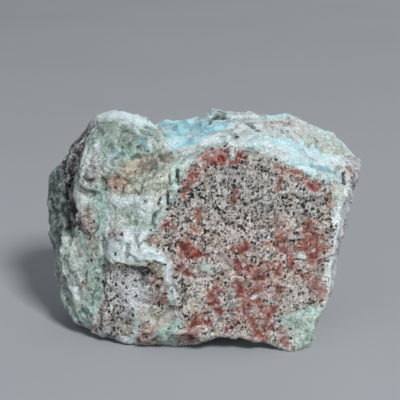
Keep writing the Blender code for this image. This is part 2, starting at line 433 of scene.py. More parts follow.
# The front is the photograph's view, and the other sides are seen square on.
FRONT = Side(
    (1.0, 0.0, 0.0),
    (0.0, SIN_ELEVATION, COS_ELEVATION),
    (0.0, -COS_ELEVATION, SIN_ELEVATION),
    tuple(VIEW_TARGET),
    VIEW_DISTANCE,
    0.03,
    0.22,
)
BACK = Side((-1.0, 0.0, 0.0), (0.0, 0.0, 1.0), (0.0, 1.0, 0.0))
LEFT = Side((0.0, -1.0, 0.0), (0.0, 0.0, 1.0), (-1.0, 0.0, 0.0))
RIGHT = Side((0.0, 1.0, 0.0), (0.0, 0.0, 1.0), (1.0, 0.0, 0.0))
TOP = Side((1.0, 0.0, 0.0), (0.0, 1.0, 0.0), (0.0, 0.0, 1.0), start=0.3, full=0.7)

# What fills the whole stone, in order, for the sides to cover.
HIDDEN_MIX = (
    Vein(M.GREEN, 17.0, 5.0, -0.02),
    Vein(M.SPECKLE, 21.0, 9.0, 0.10),
    Vein(M.OLIVE, 12.0, 14.0, 0.16),
    Vein(M.MINT, 11.0, 21.0, 0.14),
    Vein(M.WHITE, 8.0, 31.0, 0.20),
    Vein(M.ROSE, 9.0, 41.0, 0.24),
)

# Red clusters of the hidden sides, then what the bright and the dark clouds of the ground bring.
STAIN_TINTS = (Tint(M.BLUSH, 0.8, -0.1, 0.15), Tint(M.RED, 0.95, 0.20, 0.28))
BRIGHT_TINT = Tint(M.TAN, 0.45, 0.10, 0.40)
DARK_TINT = Tint(M.LILAC, 0.22, 0.12, 0.42)

# The broad layers of the front, from the top down, then what lies on them.
FRONT_AREAS = (
    # top and saddle
    Patch(M.CRUST, ((-14, 24), (0, 27), (16, 32), (36, 30), (46, 22), (55, 14), (48, 11), (30, 19),
        (10, 18), (-8, 14))),
    Patch(M.LILAC, ((12, 30), (20, 30), (34, 27), (34, 23), (22, 23), (13, 26)), 0.35, 2.0),
    Patch(M.ROSE, ((20, 26), (30, 26), (32, 23.4), (22, 22.8)), 0.5, 1.5),
    Patch(M.WHITE, ((11, 29), (21, 29), (21, 21.5), (11, 21.5)), 0.6, 1.8, 1.8),
    Patch(M.MINT, ((19, 29.5), (26, 29.5), (34, 29), (42, 24), (40, 23), (32, 27), (24, 27.6)), 0.8),
    Patch(M.CREAM, ((31, 25), (36, 25), (38, 21.5), (32, 20.5)), 0.8, 1.4),
    Patch(M.OLIVE, ((22, 21.5), (31, 21.5), (31, 19), (22, 19)), 0.55, 1.0),
    Patch(M.CREAM, ((36, 21), (44, 18), (47, 15), (40, 15), (35, 19)), 0.5, 1.2),
    Patch(M.WHITE, ((12, 30), (30, 31), (46, 22), (52, 15), (42, 15), (30, 21), (12, 20)), 0.3, 1.8, 1.8),
    Patch(M.ICE, ((14, 27), (22, 29), (32, 27), (40, 21), (34, 20), (22, 22)), 0.22, 1.8, 1.8),
    Patch(M.SKY, ((-14, 26), (-9, 26.5), (0, 28), (8, 31), (13, 27), (10, 24.5), (5, 22), (1, 19.5),
        (-3, 18), (-7, 16.5), (-10, 18), (-13, 22))),
    Patch(M.TEAL, ((-13, 24.6), (-8, 24), (-7, 22.4), (-11, 22.4)), 0.8, 0.8),
    Patch(M.TEAL, ((-4, 24), (0, 24), (1, 22.3), (-3, 22)), 0.8, 0.8),
    Patch(M.TEAL, ((-5, 20), (-1, 20.4), (-1, 18.6), (-5, 18)), 0.6, 0.8),
    Patch(M.CRUST, ((-1, 30), (9.6, 30.4), (12, 27), (8, 25), (2, 25.6), (-1, 27)), 0.65, 1.0, 1.4),
    Patch(M.WHITE, ((-3, 27.6), (3, 28.6), (4, 26.4), (-2, 25.4)), 0.6, 1.0, 1.4),
    Patch(M.LILAC, ((8, 28.4), (12, 28.4), (14, 25), (9, 24)), 0.55, 1.0),
    Patch(M.WHITE, ((-7, 17), (0, 19), (6, 22), (10, 23), (16, 21), (8, 18.5), (0, 16),
        (-6, 14.5)), 0.6, 1.0),
    # blue band over the speckled face
    Patch(M.SKY, ((12, 20), (20, 20.8), (28, 20), (33, 19), (40, 16), (48, 13), (49, 8), (44, 6), (36, 7),
        (33, 9), (30, 12), (26, 14.5), (20, 16.5), (13, 17.5)), 0.9),
    Patch(M.WHITE, ((21, 18), (29, 18), (30, 15), (27, 13.5), (22, 15)), 0.75, 1.0),
    Patch(M.WHITE, ((38, 14.5), (47, 14), (47, 11.5), (40, 11.5)), 0.7, 0.9),
    Patch(M.ICE, ((14, 19.6), (28, 19.4), (40, 15.6), (47, 12.6), (44, 7.6), (33, 11),
        (24, 16)), 0.5, 1.4, 1.6),
    Patch(M.CRUST, ((13, 20), (20, 20.6), (24, 19.6), (22, 17.4), (14, 17.6)), 0.5, 1.2, 1.6),
    Patch(M.WHITE, ((33, 17.6), (42, 14.8), (48, 12.4), (48, 10), (40, 12.6), (34, 14)), 0.5, 1.2, 1.6),
    Patch(M.CRUST, ((37, 11), (43, 9.6), (48, 11), (48, 6), (38, 6)), 0.7, 1.2),
    Patch(M.OLIVE, ((42, 6.4), (47, 5.6), (46, 1.5), (43, 2)), 0.6, 0.8),
    # right end
    Patch(M.LILAC, ((47, 14), (54, 14), (54, 6), (50, -6), (45, -24), (42, -36), (41, -34), (44, -20),
        (46, -5), (47, 5)), 0.9),
    # Partly the right end's white crust, partly painted light, as that end faces the light from the right.
    Patch(M.WHITE, ((47, 12), (54, 12), (53, 4), (49, -8), (46, -20), (45, -8)), 0.7, 1.4, 1.4),
    Patch(M.CREAM, ((48.5, 15), (54.5, 14.5), (54, 9.5), (51, 11)), 0.4, 0.8),
    Patch(M.WHITE, ((44, -3), (43, -14), (41.5, -20), (41, -25), (39.5, -31), (43, -31), (45.5, -22),
        (46.4, -16), (47, -6)), 0.9, 0.7),
    # green lobe at the upper left
    Patch(M.GREEN, ((-36, 27), (-30, 27.5), (-25, 27), (-18, 26.5), (-13, 24), (-10, 17), (-7.4, 15),
        (-19, 14), (-25, 11), (-30, 9), (-34, 9), (-36, 15), (-37, 20))),
    Patch(M.CRUST, ((-15, 24), (-12, 23), (-9, 15.5), (-12, 15), (-14.6, 19)), 0.8, 1.2),
    Patch(M.MINT, ((-32, 18), (-26, 14), (-25, 11), (-30, 9), (-33, 12)), 0.6, 1.5),
    Patch(M.ICE, ((-33, 27.2), (-29, 31), (-20, 31), (-14, 27), (-14, 24.6), (-19, 24.2), (-24, 24.5),
        (-28, 25.6)), 1.0, 0.8),
    Patch(M.CRUST, ((-36, 24.5), (-31, 27.5), (-27, 26), (-31, 22), (-35, 20)), 0.35, 1.2),
    Patch(M.GREEN, ((-28, 22.6), (-18, 22.6), (-15.6, 20), (-19, 15.6), (-27, 17)), 0.7, 1.2),
    Patch(M.SLATE, ((-26, 23.6), (-19, 23.6), (-17.4, 20), (-21, 18.4), (-26, 19.4)), 0.35, 0.8, 1.2),
    Patch(M.GREEN, ((-37, 22), (-31, 21), (-31, 10), (-36, 9)), 1.0, 1.2),
    Patch(M.LILAC, ((-37, 18), (-33, 18), (-32, 9), (-36, 8)), 0.4, 1.2),
    Patch(M.ICE, ((-21, 28), (-14, 27), (-10, 24.6), (-9, 22.6), (-13, 23.6),
        (-20, 25.4)), 0.85, 0.8, 0.8),
    # olive band under the ledge
    Patch(M.OLIVE, ((-25, 12), (-17, 14), (-8, 12), (-6.5, 10), (-8, 4), (-12, 1.5), (-20, 1.5),
        (-25, 3))),
    Patch(M.BROWN, ((-21, 15.6), (-11, 15.4), (-9, 12.5), (-19, 11.6)), 0.75, 0.8),
    Patch(M.SLATE, ((-22, 14.6), (-13, 14.8), (-11, 11), (-20, 9.8)), 0.5, 1.0, 1.6),
    Patch(M.TAN, ((-12, 14.8), (-6, 14), (-7, 12), (-12, 12)), 0.85, 0.7),
    Patch(M.BROWN, ((-27, 11.5), (-20, 14), (-17, 12), (-22, 8), (-27, 9)), 0.7, 1.0),
    Patch(M.BROWN, ((-31, 7.6), (-29, 9.4), (-24, 9), (-23.4, 4.4), (-26, 2.4), (-30, 3)), 0.95, 0.8),
    Patch(M.ROSE, ((-29.6, 7.6), (-25, 7.6), (-24.6, 4), (-28.6, 3.6)), 0.5, 0.7),
    # middle of the crusted face
    Patch(M.CRUST, ((-40, 5), (-30, 3), (-25, 2), (-12, 1.5), (-9, -2), (-14, -10), (-20, -10),
        (-28, -10), (-35, -10), (-40, -4))),
    Patch(M.MINT, ((-34, 5), (-31, 5), (-30, -2), (-31, -10), (-34, -9), (-34.5, -2)), 0.95, 0.8),
    Patch(M.TEAL, ((-34.8, 4.6), (-31.4, 4.6), (-31, -4), (-33.6, -6)), 0.25, 0.9),
    Patch(M.WHITE, ((-29, 1.5), (-20, 0.5), (-22, -2), (-28, -3)), 0.95, 1.0),
    Patch(M.MINT, ((-25, -3), (-16, -2), (-14.6, -8), (-19, -11), (-25, -9)), 0.7, 1.0),
    Patch(M.WHITE, ((-23, -1), (-15, 0), (-16, -6), (-22, -5)), 0.75, 1.2),
    Patch(M.ROSE, ((-41, -2), (-37, -2), (-35, -8), (-35, -14), (-39, -12)), 0.5, 1.2),
    Patch(M.CREAM, ((-36, -10), (-32, -10), (-31, -20), (-35, -21)), 0.6, 1.0),
    Patch(M.TAN, ((-35, -12), (-32, -13), (-32, -20), (-35, -20)), 0.4, 1.0),
    Patch(M.ROSE, ((-28, -11), (-24.6, -10.5), (-24, -13), (-28, -12.8)), 0.25, 0.9),
    Patch(M.LILAC, ((-30, -9.4), (-23.4, -10), (-23.4, -13.6), (-30, -13.6)), 0.6, 0.8),
    # mint band between the crust and the speckled face
    Patch(M.MINT, ((-8.4, 12), (-4, 15), (-1, 14.5), (-3.6, 9), (-6, 5), (-8, 1), (-10, -2), (-12, -6),
        (-13.5, -9), (-15.5, -9), (-12, -3), (-9.4, 2)), 0.95, 0.8),
    Patch(M.WHITE, ((-6, 15.5), (6, 18.5), (16, 19), (14, 17), (4, 16.4), (-3, 13)), 0.6, 0.9),
    # white rim over the hollow at the lower left
    Patch(M.WHITE, ((-25, -9.6), (-20, -9), (-16.6, -11.6), (-15, -14.6), (-10, -18), (-8.6, -22),
        (-8.8, -27), (-7.4, -30), (-8, -34.5), (-9.8, -34), (-10.4, -29), (-11.4, -25), (-11.8, -21.6),
        (-14, -20), (-19, -19.8), (-22, -18.8), (-26, -16)), 0.85, 0.7),
    Patch(M.ICE, ((-24, -10), (-18, -10), (-10, -18.6), (-9, -28), (-11, -28), (-14, -19.6),
        (-22, -18)), 0.4, 0.9, 1.4),
    Patch(M.MINT, ((-20, -13), (-15, -14), (-12, -18), (-16, -18), (-20, -16)), 0.4, 1.2),
    Patch(M.LILAC, ((-26, -10), (-21, -9), (-19, -12), (-24, -15)), 0.35, 1.0),
    Patch(M.MINT, ((-31, -14), (-26, -14), (-26, -19), (-30, -20)), 0.7, 0.9),
    Patch(M.WHITE, ((-31, -13), (-22, -13), (-21, -18), (-26, -20), (-30, -18)), 0.45, 0.9),
    Patch(M.MINT, ((-10.2, -32.6), (-8, -32.6), (-8, -35.2), (-10.2, -35.2)), 0.8, 0.6),
)

FRONT_LEFT = (
    # dark end, slab and pale ridge
    Patch(M.BASALT, ((-47, 14), (-44, 20), (-40, 24), (-35.4, 25.5), (-37.4, 20), (-39.4, 15), (-40, 10),
        (-41.5, 5), (-42, 0), (-40.5, -6), (-44, -9), (-44.6, 0))),
    Patch(M.SLATE, ((-48, 13), (-50, 10), (-53, 5), (-53, -19), (-46.4, -20), (-45, -12), (-43.8, -2),
        (-44.4, 7))),
    Patch(M.CRUST, ((-39, 15), (-37, 16), (-35, 10), (-36, 4), (-38.6, -4), (-40.6, 0),
        (-39.8, 6)), 0.95, 0.7, 0.6),
    Patch(M.BASALT, ((-42, 18), (-38.6, 17), (-39.8, 12), (-41.2, 7), (-42, 3), (-44, 2),
        (-44, 12)), 1.0, 0.5, 0.5),
    Patch(M.CRUST, ((-39.8, 11.6), (-37.6, 12), (-38, 2), (-39.6, -6), (-40.8, -7), (-41.4, 0),
        (-41.2, 6)), 0.95, 0.4, 0.4),
    Patch(M.CREAM, ((-41, 6), (-39, 6.4), (-39, -1), (-41.4, -1)), 0.45, 0.6, 0.8),
    Patch(M.WHITE, ((-41.6, 7), (-39.6, 7), (-39.4, -2), (-41.8, -2)), 0.45, 0.5, 0.6),
    Patch(M.WHITE, ((-38.6, 15), (-36.6, 15), (-36, 10.6), (-38.6, 10.6)), 0.9, 0.6, 0.6),
    Patch(M.SPECKLE, ((-38.4, 14), (-35.6, 14), (-34.6, 9), (-35.6, 4), (-39.4, 3)), 0.4, 0.8, 1.6),
    Patch(M.PLUM, ((-41, 16), (-38.6, 20), (-36.6, 24), (-38, 24.4), (-42, 19), (-44, 14),
        (-42, 8)), 0.5, 0.9),
    Patch(M.LILAC, ((-38.5, 14), (-34, 14), (-32, 8), (-35, 6), (-38.5, 9)), 0.45, 1.0),
    # lump at the lower left
    Patch(M.GREEN, ((-44.6, -12), (-41, -9), (-37, -11), (-34, -19), (-34, -36), (-38, -44), (-45, -36),
        (-42, -26), (-45.8, -20))),
    Patch(M.CRUST, ((-45, -13), (-40, -12), (-36, -18), (-38, -24), (-45, -22)), 0.6, 1.4),
    Patch(M.CRUST, ((-44, -12), (-38, -10), (-36.4, -20), (-37, -34), (-41, -38),
        (-41, -26)), 0.45, 1.8, 1.6),
    Patch(M.CREAM, ((-38, -13), (-33.6, -13), (-33.4, -20), (-37, -20)), 0.7, 1.0),
    Patch(M.CREAM, ((-40, -25), (-36, -26), (-35.6, -31), (-39, -30)), 0.7, 0.8),
    Patch(M.TAN, ((-39, -26.5), (-36.4, -26.5), (-36.4, -29.6), (-39, -29)), 0.5, 0.6),
    Patch(M.LILAC, ((-46, -22), (-42, -23), (-40, -29), (-42, -32), (-45, -29)), 0.5, 0.8),
    Patch(M.SLATE, ((-45, -26), (-41, -27), (-39.8, -30), (-41, -33), (-43.5, -31)), 0.25, 0.8),
    Patch(M.SLATE, ((-44, -35), (-41, -36), (-39, -40), (-41, -41), (-44, -38)), 0.5, 0.8),
    # Painted shade at the lower left edge of the lump.
    Patch(M.PAINTED_CRACK_SHADE, ((-50, -24), (-46.4, -24), (-45, -29), (-50, -29)), 0.7, 0.8),
    Patch(M.MINT, ((-35.6, -19), (-30, -19), (-30, -24), (-32, -32), (-33.5, -37), (-37, -37),
        (-36, -28)), 0.95, 0.8),
    Patch(M.GREEN, ((-35, -20), (-31.6, -20), (-31.6, -26), (-33, -34), (-35.4, -34)), 0.5, 0.8),
    Patch(M.RED, ((-37, -41.6), (-33, -41.6), (-33, -44), (-37, -44)), 0.55, 0.7),
    # The slab's slate carried down into the gap over the lump, with painted shade laid on it there.
    Patch(M.SLATE, ((-54, -7), (-44.6, -7), (-43.8, -10.8), (-45.2, -14.2), (-47.4, -17),
        (-54, -19)), 0.95, 0.5, 0.4),
    Patch(M.PAINTED_CRACK_SHADE, ((-54, -9), (-45, -9), (-44.4, -11), (-45.6, -14), (-47.6, -17),
        (-54, -19)), 0.5, 0.5, 0.4),
    Patch(M.PAINTED_CRACK_SHADE, ((-47, -10), (-44.6, -10.4), (-45.4, -15.4), (-47.4, -16)), 0.6, 0.6, 0.6),
)

FRONT_SPECKLED = (
    # lower left
    Patch(M.SPECKLE, ((-29.6, -19.6), (-25, -19), (-21, -20.6), (-14, -21), (-12, -25), (-11, -33),
        (-10, -36), (-20, -37), (-21, -46), (-29, -47), (-36, -41), (-33.4, -36), (-32, -27))),
    Patch(M.TAN, ((-17, -20.6), (-12, -21.6), (-11.6, -25), (-16, -24.6)), 0.8, 0.9),
    # Partly the pale rock below the rim, partly painted light that lifts the rim's shadow.
    Patch(M.CREAM, ((-17, -21), (-12, -21.6), (-11.6, -29), (-15.6, -29)), 0.5, 1.0),
    Patch(M.ROSE, ((-16, -24.6), (-11.4, -25.4), (-10.6, -34.4), (-15, -34), (-17.4, -28)), 0.6, 1.0),
    Patch(M.RED, ((-14, -31.4), (-11, -31.4), (-11, -34.6), (-14, -34)), 0.7, 0.8),
    Patch(M.RED, ((-16.4, -25.4), (-14.6, -25), (-14.6, -29), (-17, -29)), 0.45, 0.8),
    Patch(M.LILAC, ((-29, -22), (-18, -23), (-17, -36), (-28, -38)), 0.4, 2.0, 1.4),
    Patch(M.ICE, ((-25, -28), (-20, -27), (-19.6, -36), (-23, -36)), 0.3, 1.6, 1.4),
    Patch(M.WHITE, ((-29, -22), (-21, -24), (-18, -30), (-20, -36), (-30, -36)), 0.3, 1.6, 1.6),
    Patch(M.CREAM, ((-28, -40), (-21, -38), (-21, -42), (-27, -43)), 0.45, 1.2),
    Patch(M.PLUM, ((-24, -21.4), (-19, -20.8), (-16.8, -23), (-16.6, -27.4), (-19, -28),
        (-20.4, -24.6)), 0.95, 0.6, 0.6),
    # bottom
    Patch(M.CREAM, ((-21, -36), (-10, -35.4), (-4, -38), (-6, -42), (-14, -43), (-21, -41)), 0.85),
    Patch(M.ROSE, ((-21, -40.6), (-15.4, -41), (-13, -44), (-15, -48), (-20, -47)), 0.85, 0.9),
    Patch(M.ROSE, ((-15, -37.6), (-9, -37), (-10, -40), (-15, -40.4)), 0.5, 1.0),
    Patch(M.MINT, ((-14, -42), (-9, -39.4), (-3.6, -38), (-3, -48), (-14, -51)), 0.9, 1.0),
    Patch(M.CREAM, ((-14, -45.6), (-4, -44), (-4, -50), (-14, -51)), 0.25, 1.0),
    # main speckled face
    Patch(M.SPECKLE, ((-0.6, 12.6), (2, 14.2), (8, 16.6), (15, 16.3), (20, 15.6), (26, 13.5), (30, 11.2),
        (33, 8.4), (36, 6.8), (41, 6.5), (44, 4), (43.5, -2), (43, -14), (41.5, -20), (40, -30),
        (38, -35), (33, -36), (28, -38), (26, -40), (29, -48), (20, -49), (13, -49), (5, -50), (-3, -49),
        (-5, -40), (-11, -36), (-9, -34), (-9.5, -22), (-10, -19), (-16, -14.6), (-17, -12), (-13, -9),
        (-10, -2), (-6, 5), (-4, 9)), 1.0, 0.6, 0.5),
    Patch(M.TAN, ((10, -7), (17, -8), (17, -14), (10, -14)), 0.5, 1.6),
    Patch(M.TAN, ((33, -20), (40, -21), (39, -33), (30, -33)), 0.6, 1.8),
    Patch(M.TAN, ((-17, -12), (-8, -10), (-9, -19), (-14, -17)), 0.5, 1.2),
    Patch(M.TAN, ((-2, -15), (8, -15), (12, -24), (0, -24)), 0.35, 2.0),
    Patch(M.BLUSH, ((-8, -6), (8, -4), (20, -6), (34, -4), (43, -10), (38, -34), (28, -38), (24, -48),
        (2, -48), (-3, -40), (4, -34), (-6, -26), (-10, -20)), 0.85, 3.0, 1.6),
    Patch(M.BLUSH, ((-5, 2), (1, 8), (3, 12), (-1, 12), (-6, 6)), 0.7, 1.4, 1.4),
    Patch(M.PLUM, ((3, 11.6), (9, 12), (16, 10.4), (20, 6), (12, 4.6), (4, 6)), 0.20, 1.6, 1.4),
    Patch(M.LILAC, ((2, 11.6), (9, 12), (16, 10), (20, 5), (12, 5), (3, 6)), 0.18, 1.6, 1.4),
    Patch(M.TAN, ((6, -4), (12, -4), (13, -8), (6, -8)), 0.4, 1.6, 1.4),
    Patch(M.CREAM, ((-6, -34.6), (-2, -32), (2, -31.4), (2.4, -34), (-1, -38), (-5, -41)), 0.9, 0.9),
    Patch(M.CREAM, ((28, -27), (37, -28), (36, -34), (29, -34)), 0.45, 1.6, 1.6),
    Patch(M.OLIVE, ((24, -20), (31, -22), (30, -27), (25, -26)), 0.35, 1.4, 1.6),
    Patch(M.CREAM, ((0, -42.6), (6, -43), (6, -48), (-1, -48)), 0.7, 0.9),
    # green chip at the lower right
    Patch(M.MINT, ((28, -38), (33, -36), (38, -34.6), (41, -35), (38.5, -41), (37.5, -47), (32, -50.5),
        (29, -49), (29.4, -43), (26, -40)), 0.9, 0.8),
    Patch(M.WHITE, ((29, -40), (33, -39), (32, -47), (29, -48)), 0.5, 1.0),
    Patch(M.CRUST, ((29, -38), (38, -36), (38, -46), (31, -48)), 0.5, 1.4, 1.6),
    Patch(M.GREEN, ((30, -40), (37, -38), (37, -46), (31, -49)), 0.65, 1.4, 1.6),
)

# Red iron stains of the speckled face: how wide, where, and how strong.
STAINS = (
    (1.8, ((2.8, 13.2), (4.8, 14.4), (7.4, 14.8)), 1.0),
    (1.1, ((3.2, 12.6), (7.8, 13.2)), 0.9),
    (1.3, ((13.4, 14.4),), 1.0),
    (0.45, ((9, 13.0), (13, 12.6)), 0.8),
    (0.8, ((16, 13.0),), 0.4),
    (1.15, ((-4.4, 4.0), (-3, 6.4), (-1.8, 8.6)), 0.9),
    (0.8, ((-1.6, 10.4), (1, 8.6)), 0.4),
    (0.8, ((-5.6, 3.2), (-5.2, 1)), 0.7),
    (0.75, ((12.2, 3), (11.6, 0)), 0.75),
    (1.3, ((26.4, 8.2), (29, 8.9), (32, 7.4)), 0.35),
    (0.5, ((25.8, 11.2), (30, 10.2), (33, 7.9)), 1.0),
    (1.0, ((25.6, 4.6), (27, 6.2)), 0.6),
    (1.0, ((36.4, 4.2),), 1.0),
    (1.0, ((38.4, 5.4), (34.6, 5)), 0.5),
    (0.8, ((42, 3), (42.5, -3)), 0.5),
    (0.9, ((-1, -3.6), (-0.8, -7.4)), 0.75),
    (1.3, ((-10, -8.6),), 0.9),
    (1.4, ((-2, -10.6),), 0.8),
    (0.9, ((-16, -13.4),), 0.7),
    (1.5, ((-6, -14), (-3.6, -15.6), (-1.4, -17.6)), 1.0),
    (1.2, ((-5.6, -17), (-3.8, -19.6), (-1.6, -18.4)), 0.9),
    (0.9, ((-6.4, -22), (-4.4, -23.6)), 1.0),
    (0.9, ((2.6, -17),), 0.7),
    (1.3, ((11.8, -15.8), (14.4, -15.8)), 1.0),
    (1.4, ((26, -6.6), (26.6, -9)), 0.55),
    (1.2, ((26.4, -11.4), (28, -12.4)), 0.9),
    (1.0, ((22.4, -14.8), (25, -14.4)), 0.6),
    (1.1, ((27.4, -15.4), (29.6, -18.6), (31, -21)), 0.9),
    (1.6, ((36.4, -9),), 0.8),
    (1.9, ((34.6, -11.6), (38.6, -13), (39.6, -16)), 0.8),
    (1.4, ((32.6, -15.6), (36.6, -17), (38.8, -20)), 0.8),
    (1.6, ((36, -14), (37, -19)), 0.6),
    (1.8, ((13.6, -22.6), (16, -22)), 0.7),
    (1.4, ((20.6, -25), (20.4, -21.6), (24.8, -21.8), (26.4, -24.4)), 0.85),
    (1.6, ((18.4, -25), (19.4, -27.4), (18.2, -29.6)), 0.9),
    (1.5, ((11.8, -28.6), (13.6, -30.4)), 0.85),
    (1.2, ((14.6, -31), (16, -34)), 0.8),
    (1.9, ((38, -28), (39.2, -30.6)), 0.65),
    (1.0, ((24.6, -31.6),), 0.6),
    (1.9, ((5.2, -30.8), (5, -33)), 1.0),
    (1.2, ((5, -34), (6.4, -36.6)), 0.9),
    (1.1, ((1.6, -37.4), (2.8, -39.8)), 0.8),
    (1.9, ((-1.8, -40.2), (-3.4, -44.6)), 0.95),
    (0.9, ((12, -36.4),), 0.8),
    (1.0, ((14.8, -35), (14.8, -38)), 0.8),
    (1.5, ((24.4, -35.6), (22.4, -38.6), (23, -42)), 0.9),
    (1.3, ((17.4, -39), (18.4, -43.4)), 0.9),
    (1.6, ((17, -46), (20.4, -45)), 1.0),
    (0.9, ((8.8, -42.6),), 0.8),
    (1.0, ((11.6, -40),), 0.4),
    (1.3, ((28, -47.4),), 0.8),
    (1.2, ((28, -43),), 0.5),
    (1.3, ((19, -33.8), (20.6, -36)), 0.75),
    (1.3, ((22, -28), (26, -28.6)), 0.6),
    (1.5, ((32, -24), (36, -25)), 0.55),
    (1.2, ((-18.6, -44.6),), 0.35),
)
